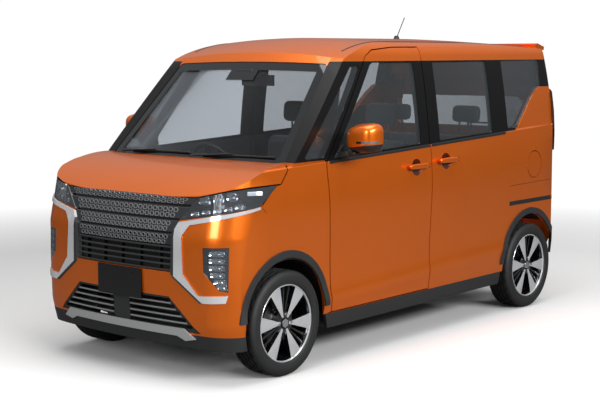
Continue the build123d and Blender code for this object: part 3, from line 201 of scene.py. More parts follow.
def glassMaterial(name, rgb, cover, frit=None):
    mat, tree, shader = newMaterial(name, linear(*rgb), 0.02)
    place, x, y, z = objectPlace(tree)
    output = tree.nodes["Material Output"]
    clear = addNode(tree, "ShaderNodeBsdfTransparent", Color=(0.86, 0.88, 0.9, 1.0))
    shine = addNode(tree, "ShaderNodeBsdfGlossy", Color=(0.95, 0.97, 1.0, 1.0), Roughness=0.015)
    rim = addNode(tree, "ShaderNodeLayerWeight", Blend=0.14)
    share = calc(tree, "MULTIPLY_ADD", noise(tree, place, 2.0), 0.04, cover)
    if frit:
        border = frit(tree, x, y, z)
        share = calc(tree, "MAXIMUM", share, border)
    body = tree.nodes.new("ShaderNodeMixShader")
    tree.links.new(share, body.inputs[0])
    tree.links.new(clear.outputs[0], body.inputs[1])
    tree.links.new(shader.outputs[0], body.inputs[2])
    final = tree.nodes.new("ShaderNodeMixShader")
    tree.links.new(calc(tree, "MULTIPLY", rim.outputs["Fresnel"], 0.8), final.inputs[0])
    tree.links.new(body.outputs[0], final.inputs[1])
    tree.links.new(shine.outputs[0], final.inputs[2])
    tree.links.new(final.outputs[0], output.inputs[0])
    return mat


# the black border of the windscreen, with a tab in front of the sensor box
fritSizes = {
    "sideLean": -0.177, "side": 0.8, "topBow": 0.03, "top": 1.592, "foot": 1.138, "tabHalf": 0.105,
    "tabFoot": 1.535
}


def screenFrit(tree, x, y, z):
    side = calc(tree, "ABSOLUTE", y)
    edge = calc(tree, "MULTIPLY_ADD", z, fritSizes["sideLean"], fritSizes["side"])
    onSide = calc(tree, "GREATER_THAN", side, edge)
    bowed = calc(tree, "MULTIPLY_ADD", calc(tree, "MULTIPLY", side, side), fritSizes["topBow"], z)
    onTop = calc(tree, "GREATER_THAN", bowed, fritSizes["top"])
    onFoot = calc(tree, "LESS_THAN", z, fritSizes["foot"])
    within = calc(tree, "LESS_THAN", side, fritSizes["tabHalf"])
    tab = calc(tree, "MULTIPLY", within, calc(tree, "GREATER_THAN", z, fritSizes["tabFoot"]))
    return calc(tree, "MAXIMUM", calc(tree, "MAXIMUM", onSide, onTop), calc(tree, "MAXIMUM", onFoot, tab))


def clothMaterial(name, rgb, scale=420.0):
    mat, tree, shader = newMaterial(name, linear(*rgb), 0.85)
    shader.inputs["Sheen Weight"].default_value = 0.3
    place = objectPlace(tree)[0]
    wave = addNode(tree, "ShaderNodeTexWave", {"bands_direction": "Y"}, Scale=scale, Distortion=1.0)
    other = addNode(tree, "ShaderNodeTexWave", {"bands_direction": "Z"}, Scale=scale, Distortion=1.0)
    tree.links.new(place, wave.inputs["Vector"])
    tree.links.new(place, other.inputs["Vector"])
    weave = calc(tree, "MULTIPLY", wave.outputs["Fac"], other.outputs["Fac"])
    pale = tuple(c * 1.9 + 0.004 for c in linear(*rgb)[:3]) + (1.0,)
    shade = calc(tree, "MULTIPLY", calc(tree, "ADD", weave, noise(tree, place, 9.0)), 0.5)
    tree.links.new(mixColour(tree, shade, linear(*rgb), pale), shader.inputs["Base Color"])
    bumpInto(tree, shader, weave, 0.3, 0.0008)
    return mat


paintPlain = paintMaterial("orange metallic paint")
paintBanded = paintMaterial("orange metallic paint with black window band", True)
blackTrim = plasticMaterial("grained black plastic", (26, 27, 28), 0.55)
darkPlastic = plasticMaterial("dark cabin plastic", (46, 47, 49), 0.62, 900.0)
glossBlack = metalMaterial("gloss black", (5, 5, 6), 0.12, 0.0, 8.0, strength=0.0, coat=0.3)
satinBlack = plasticMaterial("satin black", (20, 20, 21), 0.4, 1500.0, 0.1)
gunmetal = metalMaterial("gunmetal grille", (150, 151, 153), 0.3, 0.6, 90.0, coat=0.6)
silverTrim = metalMaterial("silver paint", (190, 191, 192), 0.32, 0.45, 200.0, coat=0.5)
machined = metalMaterial("turned alloy face", (216, 218, 221), 0.22, 0.6, 40.0, coat=0.5)
wheelBlack = metalMaterial("wheel gloss black", (14, 14, 15), 0.16, 0.1, 20.0, coat=0.9)
castIron = metalMaterial("cast iron", (62, 60, 58), 0.6, 0.6, 160.0, strength=0.4)
discSteel = metalMaterial("turned disc steel", (150, 150, 152), 0.3, 1.0, 300.0, strength=0.1)
darkSteel = metalMaterial("black chassis steel", (30, 30, 31), 0.5, 0.3, 120.0, strength=0.3)
exhaustSteel = metalMaterial("exhaust steel", (120, 116, 110), 0.42, 0.9, 70.0, strength=0.25)
rubber = plasticMaterial("tyre rubber", (14, 15, 15), 0.62, 1400.0, 0.2)
barGrey = metalMaterial("dark grille bar", (58, 59, 61), 0.3, 0.5, 90.0, coat=0.5)


# the shield trim is bright, with a dark inner cheek beside the grille
shieldLook = {
    "bright": (228, 229, 231), "cheek": (58, 59, 61), "knee": 0.56, "lean": 1.435, "inner": 0.386,
    "cheekTop": 0.80
}


def shieldMaterial():
    bright, cheek = linear(*shieldLook["bright"]), linear(*shieldLook["cheek"])
    mat, tree, shader = newMaterial("shield chrome", bright, 0.18, 0.55, 0.5)
    place, x, y, z = objectPlace(tree)
    drop = calc(tree, "MAXIMUM", calc(tree, "SUBTRACT", shieldLook["knee"], z), 0.0)
    line = calc(tree, "MULTIPLY_ADD", drop, shieldLook["lean"], shieldLook["inner"])
    within = calc(tree, "LESS_THAN", calc(tree, "ABSOLUTE", y), line)
    inner = calc(tree, "MULTIPLY", within, calc(tree, "LESS_THAN", z, shieldLook["cheekTop"]))
    fine = calc(tree, "MULTIPLY_ADD", noise(tree, place, 30.0), 0.05, 0.1)
    tree.links.new(mixColour(tree, inner, bright, cheek), shader.inputs["Base Color"])
    tree.links.new(calc(tree, "MULTIPLY_ADD", inner, 0.2, fine), shader.inputs["Roughness"])
    return mat


shieldChrome = shieldMaterial()


# the tail lamp is red behind, between two levels, and dark elsewhere
tailLook = {
    "dark": (12, 12, 13), "red": (150, 6, 10), "deepRed": (70, 2, 5), "behind": -1.672, "foot": 1.09,
    "top": 1.40
}


def tailLampMaterial():
    mat, tree, shader = newMaterial("tail lamp", linear(14, 12, 12), 0.08, 0.0, 1.0)
    place, x, y, z = objectPlace(tree)
    ribs = addNode(tree, "ShaderNodeTexWave", {"bands_direction": "Z"}, Scale=26.0)
    tree.links.new(place, ribs.inputs["Vector"])
    behind = calc(tree, "LESS_THAN", x, tailLook["behind"])
    over = calc(tree, "GREATER_THAN", z, tailLook["foot"])
    tall = calc(tree, "MULTIPLY", over, calc(tree, "LESS_THAN", z, tailLook["top"]))
    red = mixColour(tree, ribs.outputs["Fac"], linear(*tailLook["red"]), linear(*tailLook["deepRed"]))
    lit = calc(tree, "MULTIPLY", behind, tall)
    tree.links.new(mixColour(tree, lit, linear(*tailLook["dark"]), red), shader.inputs["Base Color"])
    return mat


tailLampMat = tailLampMaterial()
screenGlass = glassMaterial("windscreen glass", (16, 18, 20), 0.02, screenFrit)
doorGlass = glassMaterial("side glass", (92, 97, 99), 0.10)
rearGlass = glassMaterial("privacy glass", (66, 70, 72), 0.24)
lensGlass = glassMaterial("lamp lens", (190, 195, 200), 0.03)
redLens = newMaterial("red lens", linear(120, 6, 8), 0.08, 0.0, 1.0)[0]
lampSilver = metalMaterial("lamp reflector", (225, 228, 232), 0.08, 1.0, 30.0)
whiteLamp = newMaterial("white lamp block", linear(236, 240, 244), 0.2, 0.0, 1.0)[0]
seatCloth = clothMaterial("seat cloth", (44, 45, 47))
mirrorFace = newMaterial("mirror face", linear(220, 224, 228), 0.02, 1.0)[0]
print("materials made")


# small helpers for meshes
def shadeByAngle(bm, degrees):
    limit = math.radians(degrees)
    for face in bm.faces:
        face.smooth = True
    for edge in bm.edges:
        edge.smooth = len(edge.link_faces) == 2 and edge.calc_face_angle(0.0) < limit


def makeObject(name, bm, materials):
    mesh = bpy.data.meshes.new(name)
    bm.to_mesh(mesh)
    bm.free()
    for mat in materials:
        mesh.materials.append(mat)
    made = bpy.data.objects.new(name, mesh)
    bpy.context.scene.collection.objects.link(made)
    return made


def dress(piece, body, slot, *replaced):
    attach(piece, body)
    if replaced:
        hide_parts(*replaced)
    return piece


def copyOf(nodeName, merge=0.00003):
    bm = bmesh.new()
    bm.from_mesh(frame["nodes"][nodeName].data)
    bmesh.ops.remove_doubles(bm, verts=bm.verts, dist=merge)
    bmesh.ops.dissolve_degenerate(bm, dist=0.00001, edges=bm.edges)
    return bm


bodyOf = {}
for bodyName, nodeNames in frame["record"]["behaviour"]["bodies"].items():
    for nodeName in nodeNames:
        bodyOf[nodeName] = bodyName


def smoothPanel(nodeName, mat, slot, degrees=24.0):
    bm = copyOf(nodeName)
    shadeByAngle(bm, degrees)
    return dress(makeObject(nodeName + "_skin", bm, [mat]), bodyOf[nodeName], slot, nodeName)


for nodeName in (
    "front_wings", "front_bumper", "rear_bumper", "bonnet", "tailgate", "rear_spoiler", "fuel_lid",
    "roof_panel"
):
    smoothPanel(nodeName, paintPlain, "body_paint")
for nodeName in ("body_sides", "front_door_left", "front_door_right", "sliding_doors"):
    smoothPanel(nodeName, paintBanded, "body_paint")
for nodeName, mat, slot in (
    ("shield_trims", shieldChrome, "bright_trim"),
    ("skid_plate", silverTrim, "silver_trim"),
    ("lower_cladding", blackTrim, "black_trim"),
    ("lower_grille", blackTrim, "black_trim"),
    ("cowl_panel", satinBlack, "black_trim"),
    ("windscreen", screenGlass, "tinted_glass"),
    ("front_door_glass_left", doorGlass, "tinted_glass"),
    ("front_door_glass_right", doorGlass, "tinted_glass"),
    ("sliding_door_glass", rearGlass, "tinted_glass"),
    ("fixed_side_glass", rearGlass, "tinted_glass"),
    ("tailgate_glass", rearGlass, "tinted_glass"),
):
    smoothPanel(nodeName, mat, slot)
print("panels and glass made")

finishes = [
    (satinBlack, "wipers rear_wiper antenna steering_wheel"),
    (glossBlack, "front_plate"),
    (darkPlastic, "interior_mirror dashboard"),
    (gunmetal, "upper_grille"),
    (lampSilver, "front_lamps"),
    (tailLampMat, "tail_lamps"),
    (mirrorFace, "mirror_glass_left mirror_glass_right"),
    (paintPlain, "door_mirror_left door_mirror_right"),
    (machined, "rim_front_left rim_front_right rim_rear_left rim_rear_right"),
    (rubber, "tyre_front_left tyre_front_right tyre_rear_left tyre_rear_right"),
    (darkSteel, "front_structure floor_pan fuel_tank front_subframe rear_axle"),
    (castIron, "engine_block knuckle_left knuckle_right"),
    (exhaustSteel, "exhaust"),
    (discSteel, "brake_disc_left brake_disc_right"),
    (seatCloth, "front_seats rear_seat"),
]
for nodeName, mat in [(name, mat) for mat, names in finishes for name in names.split()]:
    mesh = frame["nodes"][nodeName].data
    mesh.materials.clear()
    mesh.materials.append(mat)
print("CAD pieces given their finishes")


# places on the car's skin
noseLevels = [(0.15, 1.64), (0.31, 1.683), (0.56, 1.692), (0.76, 1.688), (1.06, 1.625)]
plan = {"bow": 8.0772, "diagonal": math.sqrt(0.5)}


def skinPoint(y, z, depth):
    for (z0, x0), (z1, x1) in zip(noseLevels, noseLevels[1:]):
        if z <= z1:
            break
    share = min((z - z0) / (z1 - z0), 1.0)
    return Vector((x0 + (x1 - x0) * share - y * y / plan["bow"] - depth, y, z))


def surfaceOf(*names):
    verts, faces = [], []
    for name in names:
        mesh = frame["nodes"][name].data
        base = len(verts)
        verts += [v.co.copy() for v in mesh.vertices]
        faces += [[base + i for i in p.vertices] for p in mesh.polygons]
    return BVHTree.FromPolygons(verts, faces)


def sideHits(tree, sign, line, steps=6):
    hits = []
    for (x0, z0), (x1, z1) in zip(line, line[1:]):
        for k in range(steps):
            f = k / steps
            hits.append((x0 + (x1 - x0) * f, z0 + (z1 - z0) * f))
    hits.append(line[-1])
    found = [tree.ray_cast(Vector((x, sign * 1.5, z)), Vector((0, -sign, 0)))[:2] for x, z in hits]
    return [h for h in found if h[0] is not None]


def stitch(bm, rows, mat=0):
    count = len(rows[0])
    made = []
    for a, b in zip(rows, rows[1:]):
        for k in range(count):
            made.append(bm.faces.new((a[k], a[(k + 1) % count], b[(k + 1) % count], b[k])))
    made.append(bm.faces.new(rows[0]))
    made.append(bm.faces.new(list(reversed(rows[-1]))))
    for face in made:
        face.material_index = mat


def flipSide(bm):
    bmesh.ops.scale(bm, vec=(1, -1, 1), verts=bm.verts)
    bmesh.ops.reverse_faces(bm, faces=bm.faces)


def addPeg(bm, middle, radius, tip, depth, segments, mat, turn=None):
    made = bmesh.ops.create_cone(
        bm, cap_ends=True, segments=segments, radius1=radius, radius2=tip, depth=depth
    )["verts"]
    if turn:
        bmesh.ops.rotate(bm, cent=(0, 0, 0), matrix=turn, verts=made)
    bmesh.ops.translate(bm, vec=middle, verts=made)
    for face in {f for v in made for f in v.link_faces}:
        face.material_index = mat


def ribbon(name, hits, half, lift, mat, body, slot, sink=0.001, flat=False):
    bm = bmesh.new()
    rows = []
    for i, (point, normal) in enumerate(hits):
        before = hits[max(i - 1, 0)][0]
        after = hits[min(i + 1, len(hits) - 1)][0]
        across = normal.cross((after - before).normalized()).normalized()
        top = lift if flat else lift * 0.55
        section = (
            (-half, -sink), (-half, top), (-half * 0.55, lift), (half * 0.55, lift), (half, top),
            (half, -sink)
        )
        rows.append([bm.verts.new(point + across * a + normal * b) for a, b in section])
    stitch(bm, rows)
    bmesh.ops.recalc_face_normals(bm, faces=bm.faces)
    shadeByAngle(bm, 40)
    return dress(makeObject(name, bm, [mat]), body, slot)


def addBlock(bm, centre, size, bevel=0.0, mat=0, turn=None):
    made = bmesh.ops.create_cube(bm, size=1.0)["verts"]
    bmesh.ops.scale(bm, vec=Vector(size), verts=made)
    if bevel:
        edges = list({e for v in made for e in v.link_edges})
        made = [
            v for v in bmesh.ops.bevel(
                bm, geom=edges, offset=bevel, segments=3, profile=0.5, affect="EDGES", material=-1
            )["verts"]
        ]
    faces = list({f for v in made for f in v.link_faces})
    made = list({v for f in faces for v in f.verts})
    if turn:
        bmesh.ops.rotate(bm, cent=(0, 0, 0), matrix=turn, verts=made)
    bmesh.ops.translate(bm, vec=Vector(centre), verts=made)
    for face in faces:
        face.material_index = mat
    return made


# the upper grille: four patterned bars over thin slats
grille = {
    "bars": [(0.924, 0.962), (0.851, 0.913), (0.781, 0.842), (0.714, 0.772)],
    "slats": [0.5845, 0.6155, 0.6455, 0.6755, 0.7055],
    "slatHeight": 0.0095,
    "columns": 21,
    "ringRise": 0.0022,
    "ringOpen": 0.66,
}
grilleEdge = [(0.570, 0.360), (0.771, 0.3625), (0.838, 0.4015), (0.962, 0.4965)]


def edgeAt(z, edge=grilleEdge):
    for (z0, y0), (z1, y1) in zip(edge, edge[1:]):
        if z <= z1:
            break
    return y0 + (y1 - y0) * min(max((z - z0) / (z1 - z0), 0.0), 1.0)


def addBar(bm, section, mat=0, steps=24):
    rows = []
    for k in range(steps + 1):
        t = 2 * k / steps - 1
        rows.append([bm.verts.new(skinPoint(t * edgeAt(z), z, depth)) for z, depth in section])
    stitch(bm, rows, mat)


def addRing(bm, y, z, a, b, depth, rise, opening, mats):
    shape = [(-1.0, 0.0), (-0.62, 1.0), (0.62, 1.0), (1.0, 0.0), (0.62, -1.0), (-0.62, -1.0)]
    loops = []
    for scale, out in ((1.0, 0.0), (0.97, rise), (opening + 0.03, rise), (opening, -0.0004)):
        loops.append(
            [bm.verts.new(skinPoint(y + p * a * scale, z + q * b * scale, depth - out)) for p, q in shape]
        )
    for low, high in zip(loops, loops[1:]):
        for k in range(6):
            face = bm.faces.new((low[k], low[(k + 1) % 6], high[(k + 1) % 6], high[k]))
            face.material_index = mats[0]
    bm.faces.new(loops[-1]).material_index = mats[1]


bm = bmesh.new()
for z0, z1 in grille["bars"]:
    tall = z1 - z0
    addBar(
        bm,
        [(z0, 0.021), (z0, 0.008), (z0 + 0.004, 0.0045), (z1 - 0.004, 0.0045), (z1, 0.008), (z1, 0.021)]
    )
    width = 2 * edgeAt(z0) * 0.9 / grille["columns"]
    for row in (0.27, 0.73):
        z = z0 + tall * row
        for k in range(grille["columns"] + (0 if row < 0.5 else 1)):
            y = (k - (grille["columns"] - 1) / 2 - (0 if row < 0.5 else 0.5)) * width
            addRing(
                bm, y, z, width * 0.47, tall * 0.19, 0.0044, grille["ringRise"], grille["ringOpen"],
                (1, 2)
            )
for z in grille["slats"]:
    h = grille["slatHeight"] / 2
    addBar(
        bm,
        [
            (z - h, 0.020), (z - h, 0.006), (z - h * 0.4, 0.0042), (z + h * 0.4, 0.0042), (z + h, 0.006),
            (z + h, 0.020)
        ]
    )
for k in range(5):
    y = (k - 2) * 0.140
    for za, zb in zip(grille["slats"], grille["slats"][1:]):
        addBlock(bm, skinPoint(y, (za + zb) / 2, 0.016), (0.010, 0.005, zb - za), 0.0, 2)
addBar(
    bm,
    [
        (0.578, 0.0225), (0.771, 0.0225), (0.838, 0.0225), (0.961, 0.0225), (0.961, 0.026),
        (0.838, 0.026), (0.771, 0.026), (0.578, 0.026)
    ],
    2
)
bmesh.ops.recalc_face_normals(bm, faces=bm.faces)
shadeByAngle(bm, 32)
dress(makeObject("grille_bars", bm, [barGrey, gunmetal, glossBlack]), "body", "grille_grey", "upper_grille")

lowerEdge = [(0.272, 0.528), (0.449, 0.334)]
bladeSection = [
    (-0.0045, 0.012), (-0.0045, 0.004), (-0.002, 0.0015), (0.002, 0.0015), (0.0045, 0.004),
    (0.0045, 0.012)
]
bm = bmesh.new()
for z in (0.318, 0.350, 0.382, 0.413):
    for side in (-1, 1):
        far = edgeAt(z, lowerEdge) - 0.02
        rows = []
        for k in range(9):
            y = side * (0.065 + (far - 0.065) * k / 8)
            section = [(z + h, d) for h, d in bladeSection]
            rows.append([bm.verts.new(skinPoint(y, h, d)) for h, d in section])
        stitch(bm, rows)
bmesh.ops.recalc_face_normals(bm, faces=bm.faces)
shadeByAngle(bm, 32)
dress(makeObject("lower_grille_blades", bm, [gunmetal]), "body", "grille_grey")
print("grilles made")

# the lamps: a clear cover over a dark housing with bright modules
lamps = {
    "cover": 0.0025,
    "upper": [(-0.752, 0.949), (-0.684, 0.962), (-0.616, 0.972)],
    "upperSize": (0.058, 0.044),
    "lower": [(-0.800, 0.882), (-0.745, 0.893), (-0.690, 0.903), (-0.635, 0.912), (-0.580, 0.921)],
    "lowerSize": (0.043, 0.024),
    "block": (-0.500, 0.984, 0.080, 0.022),
    "stack": [
        (-0.694, 0.690), (-0.694, 0.654), (-0.694, 0.618), (-0.690, 0.582), (-0.678, 0.548),
        (-0.667, 0.520)
    ],
    "stackSize": (0.086, 0.030),
}


def addBowl(bm, place, facing, width, height, depth, mats, rings=4, corners=16):
    side = Vector((0, 0, 1)).cross(facing).normalized()
    up = facing.cross(side).normalized()
    loops = []
    for k in range(rings + 1):
        f = 1.0 - k / (rings + 0.6)
        loop = []
        for i in range(corners):
            a = 2 * math.pi * (i + 0.5) / corners
            c, s = math.cos(a), math.sin(a)
            p = math.copysign(abs(c) ** 0.55, c) * width / 2 * f
            q = math.copysign(abs(s) ** 0.55, s) * height / 2 * f
            loop.append(bm.verts.new(place + side * p + up * q - facing * depth * (1 - f * f)))
        loops.append(loop)
    back = [bm.verts.new(v.co - facing * (depth + 0.002)) for v in loops[0]]
    for a, b in zip([back] + loops, loops):
        for i in range(corners):
            bm.faces.new((a[i], a[(i + 1) % corners], b[(i + 1) % corners], b[i])).material_index = mats[0]
    bm.faces.new(loops[-1]).material_index = mats[1]
    bm.faces.new(list(reversed(back))).material_index = mats[0]


def lampHit(tree, sign, s, z):
    d = plan["diagonal"]
    start = Vector(((2.6 - s) * d, sign * (2.6 + s) * d, z))
    return tree.ray_cast(start, Vector((-d, -sign * d, 0)))[0]


whole = copyOf("front_lamps")
left = set(whole.verts)
islands = []
while left:
    group, fresh = set(), [left.pop()]
    while fresh:
        v = fresh.pop()
        group.add(v)
        for edge in v.link_edges:
            other = edge.other_vert(v)
            if other in left:
                left.discard(other)
                fresh.append(other)
    islands.append(group)
coverMesh, housingMesh, moduleMesh = bmesh.new(), bmesh.new(), bmesh.new()
for group in islands:
    sign = 1 if sum(v.co.y for v in group) > 0 else -1
    top = sum(v.co.z for v in group) / len(group) > 0.8
    facing = Vector((1, sign, 0)) * plan["diagonal"]
    faces = {f for v in group for f in v.link_faces}
    cast = []
    for face in faces:
        front = face.normal.dot(facing) > 0.25
        target = coverMesh if front else housingMesh
        corners = [target.verts.new(v.co) for v in face.verts]
        target.faces.new(corners)
        if front:
            cast.append([v.co.copy() for v in face.verts])
    points = [p for c in cast for p in c]
    counts = [len(c) for c in cast]
    polygons, at = [], 0
    for n in counts:
        polygons.append(list(range(at, at + n)))
        at += n
    tree = BVHTree.FromPolygons(points, polygons)
    ahead = Vector((1, 0.55 * sign, 0)).normalized()
    if top:
        for (s, z), (w, h), deep in [(p, lamps["upperSize"], 0.018) for p in lamps["upper"]] + [
            (p, lamps["lowerSize"], 0.012) for p in lamps["lower"]
        ]:
            hit = lampHit(tree, sign, s, z)
            if hit:
                addBowl(moduleMesh, hit - facing * 0.010, ahead, w, h, deep, (0, 1))
        s, z, w, h = lamps["block"]
        hit = lampHit(tree, sign, s, z)
        if hit:
            turn = Matrix.Rotation(sign * math.radians(56), 3, "Z")
            addBlock(moduleMesh, hit - facing * 0.014, (0.012, w, h), 0.004, 2, turn)
    else:
        for s, z in lamps["stack"]:
            hit = lampHit(tree, sign, s, z)
            w, h = lamps["stackSize"]
            if hit:
                addBowl(
                    moduleMesh, hit - facing * 0.008, ahead, w * min(1.0, (z - 0.30) / 0.30), h, 0.014,
                    (0, 1)
                )
for mesh in (coverMesh, housingMesh):
    bmesh.ops.remove_doubles(mesh, verts=mesh.verts, dist=0.00002)
    shadeByAngle(mesh, 30)
bmesh.ops.recalc_face_normals(moduleMesh, faces=moduleMesh.faces)
for face in moduleMesh.faces:
    face.smooth = False
whole.free()
cover = dress(makeObject("lamp_covers", coverMesh, [lensGlass]), "body", "lamp_lens", "front_lamps")
housing = dress(makeObject("lamp_housings", housingMesh, [glossBlack]), "body", "lamp_lens")
for piece, thick in ((cover, lamps["cover"]), (housing, 0.002)):
    shellWall = piece.modifiers.new("wall", "SOLIDIFY")
    shellWall.thickness = thick
    shellWall.offset = -1.0
dress(makeObject("lamp_modules", moduleMesh, [lampSilver, lensGlass, whiteLamp]), "body", "lamp_lens")
print("lamps made")

# the wheels, made once about the axle and then placed four times
wheel = {
    "y": 0.645, "z": 0.281, "front": 1.178, "rear": -1.317,
    "outer": 0.0825, "firstSpoke": 5.0, "pairs": (95.0, 215.0, 335.0),
    "treadBlocks": 84,
}
tyreProfile = [
    (0.2065, -0.0690), (0.2140, -0.0785), (0.2260, -0.0812), (0.2400, -0.0825), (0.2560, -0.0810), (
        0.2680, -0.0770
    ),
    (0.2760, -0.0705), (0.2800, -0.0620),
]
tyreGrooves = [(-0.040, 0.009), (-0.0135, 0.009), (0.0135, 0.009), (0.040, 0.009)]


def spinProfile(bm, points, steps, mats=None, closed=True):
    rows = []
    for k in range(steps):
        a = 2 * math.pi * k / steps
        rows.append([bm.verts.new((r * math.cos(a), y, r * math.sin(a))) for r, y in points])
    made = []
    count = len(points)
    for k in range(steps):
        a, b = rows[k], rows[(k + 1) % steps]
        for i in range(count if closed else count - 1):
            face = bm.faces.new((a[i], b[i], b[(i + 1) % count], a[(i + 1) % count]))
            face.material_index = mats[i] if mats else 0
            made.append((face, k, i))
    return made


def tyreShape(bm):
    crown = []
    for y, w in tyreGrooves:
        for yy, r in (
            (y - w / 2, 0.2808), (y - w / 2 + 0.001, 0.2745), (y + w / 2 - 0.001, 0.2745),
            (y + w / 2, 0.2808)
        ):
            crown.append((r, yy))
    mirrored = [(r, -y) for r, y in reversed(tyreProfile)]
    inner = [(0.2065, 0.0600), (0.2065, -0.0600)]
    points = tyreProfile + crown + mirrored + inner
    made = spinProfile(bm, points, wheel["treadBlocks"])
    first = len(tyreProfile) - 1
    lands = {first + 4 * k for k in range(len(tyreGrooves) + 1)}
    cuts = [f for f, k, i in made if i in lands and k % 3 == (i // 4) % 3]
    bmesh.ops.inset_individual(bm, faces=cuts, thickness=0.0012, depth=0.0)
    for face in cuts:
        centre = face.calc_center_median()
        inward = Vector((-centre.x, 0, -centre.z)).normalized() * 0.0035
        for v in face.verts:
            v.co += inward
    for r, y in ((0.2235, 0.0809), (0.2490, 0.0820)):
        spinProfile(
            bm,
            [
                (r - 0.0012, y - 0.001), (r - 0.0008, y + 0.0006), (r + 0.0008, y + 0.0006),
                (r + 0.0012, y - 0.001)
            ],
            72
        )
    bmesh.ops.recalc_face_normals(bm, faces=bm.faces)
    shadeByAngle(bm, 28)


def radial(bm, outline, y0, y1, angle, mats, bevel=0.0):
    turn = Matrix.Rotation(-math.radians(angle), 3, "Y")
    back = [bm.verts.new(turn @ Vector((r, y0, t))) for r, t in outline]
    front = [bm.verts.new(turn @ Vector((r, y1(r), t))) for r, t in outline]
    count = len(outline)
    faces = []
    for k in range(count):
        face = bm.faces.new((back[k], back[(k + 1) % count], front[(k + 1) % count], front[k]))
        face.material_index = mats[1]
        faces.append(face)
    cap = bm.faces.new(front)
    cap.material_index = mats[0]
    foot = bm.faces.new(list(reversed(back)))
    foot.material_index = mats[1]
    if bevel:
        edges = [e for e in cap.edges]
        bmesh.ops.bevel(bm, geom=edges, offset=bevel, segments=2, profile=0.5, affect="EDGES", material=-1)


def rimShape(bm):
    o = wheel["outer"]
    barrel = [
        (0.1900, -o + 0.014), (0.2055, -o + 0.013), (0.2060, -o + 0.020), (0.1985, -o + 0.027), (
            0.1985, o - 0.028
        ),
        (0.2062, o - 0.021), (0.2068, o - 0.0112), (0.2040, o - 0.0085), (0.2012, o - 0.0092), (
            0.1975, o - 0.0150
        ),
        (0.1900, o - 0.0300), (0.1880, o - 0.0600), (0.1860, -o + 0.030),
    ]
    tints = [1, 1, 1, 1, 1, 0, 0, 0, 0, 1, 1, 1, 1]
    spinProfile(bm, barrel, 96, tints)
    face = lambda r: o - 0.020 + 0.007 * min(max((r - 0.05) / 0.14, 0.0), 1.0)
    deep = lambda r: o - 0.031 + 0.006 * min(max((r - 0.05) / 0.14, 0.0), 1.0)
    for k in range(6):
        wedge = [
            (0.034, -0.008), (0.060, -0.0105), (0.120, -0.0245), (0.196, -0.042), (0.200, 0.0),
            (0.196, 0.042), (0.120, 0.0245), (0.060, 0.0105), (0.034, 0.008)
        ]
        radial(bm, wedge, o - 0.046, face, wheel["firstSpoke"] + 60 * k, (0, 1), 0.0012)
    for angle in wheel["pairs"]:
        for off in (-6.5, 6.5):
            thin = [(0.036, -0.0045), (0.194, -0.0062), (0.194, 0.0062), (0.036, 0.0045)]
            radial(bm, thin, o - 0.044, deep, angle + off, (1, 1), 0.0012)
    hub = [
        (0.0, o - 0.060), (0.066, o - 0.060), (0.066, o - 0.036), (0.060, o - 0.0265),
        (0.036, o - 0.0225), (0.0305, o - 0.0225), (0.0305, o - 0.0265), (0.0, o - 0.0265)
    ]
    spinProfile(bm, hub, 48, [1] * 8, False)
    outward = Matrix.Rotation(-math.pi / 2, 3, "X")
    for k in range(4):
        a = math.radians(90 * k)
        c, s = 0.050 * math.cos(a), 0.050 * math.sin(a)
        for radius, y0, y1, mat in ((0.0125, o - 0.0315, o - 0.0245, 1), (0.0085, o - 0.0300, o - 0.0135, 2)):
            addPeg(
                bm, (c, (y0 + y1) / 2, s), radius, radius * 0.93, y1 - y0, 6 if mat == 2 else 18, mat,
                outward
            )
    addPeg(bm, (0, o - 0.020, 0), 0.028, 0.025, 0.008, 6, 2, outward)
    bmesh.ops.remove_doubles(bm, verts=bm.verts, dist=0.00001)
    bmesh.ops.recalc_face_normals(bm, faces=bm.faces)
    shadeByAngle(bm, 30)


for end in ("front", "rear"):
    for side, sign in (("left", 1), ("right", -1)):
        place = Vector((wheel[end], sign * wheel["y"], wheel["z"]))
        for part, shape, mats, slotName in (
            ("rim", rimShape, [machined, wheelBlack, lampSilver], "alloy"),
            ("tyre", tyreShape, [rubber], "tyre_rubber")
        ):
            bm = bmesh.new()
            shape(bm)
            if sign < 0:
                flipSide(bm)
            bmesh.ops.translate(bm, vec=place, verts=bm.verts)
            dress(
                makeObject(f"{part}_{end}_{side}_made", bm, mats), f"wheel_{end}_{side}", slotName,
                f"{part}_{end}_{side}"
            )
print("wheels made")

# handle cups sunk into the doors, mouldings, mirrors and other trim on the skin
trim = {
    "cupRadius": 0.054, "cupDepth": 0.013, "cutterReach": 0.16, "gripY": 0.7575, "gripHalf": (
        0.098, 0.0115, 0.0155
    ),
    "handles": {
        "door_left": (0.018, 1.032, 1), "door_right": (0.018, 1.032, -1),
        "slide_left": (-0.292, 1.049, 1), "slide_right": (-0.292, 1.049, -1)
    },
    "beltDrop": 0.006, "beltHalf": 0.0085, "beltRise": 0.004,
    "beltFront": (0.822, -0.130), "beltSlide": (-0.150, -0.985),
    "ditchHalf": 0.006, "ditchRise": 0.0022, "ditchY": 0.566,
    "ditchStart": 0.52, "ditchLength": 2.03, "ditchSteps": 39,
}
# the handle cups are body colour; their sunken faces get this darker brown-orange as painted shade in the
# recess
cupShadePaint = metalMaterial("painted shade in the handle cups", (74, 26, 6), 0.35, 0.4, 60.0, coat=0.3)


def roundShell(bm, centre, half, power, segments=56, rings=36):
    made = bmesh.ops.create_uvsphere(bm, u_segments=segments, v_segments=rings, radius=1.0)["verts"]
    for v in made:
        n = v.co.normalized()
        v.co = Vector([math.copysign(abs(n[k]) ** power, n[k]) * half[k] for k in range(3)])
        v.co += Vector(centre)
    return made


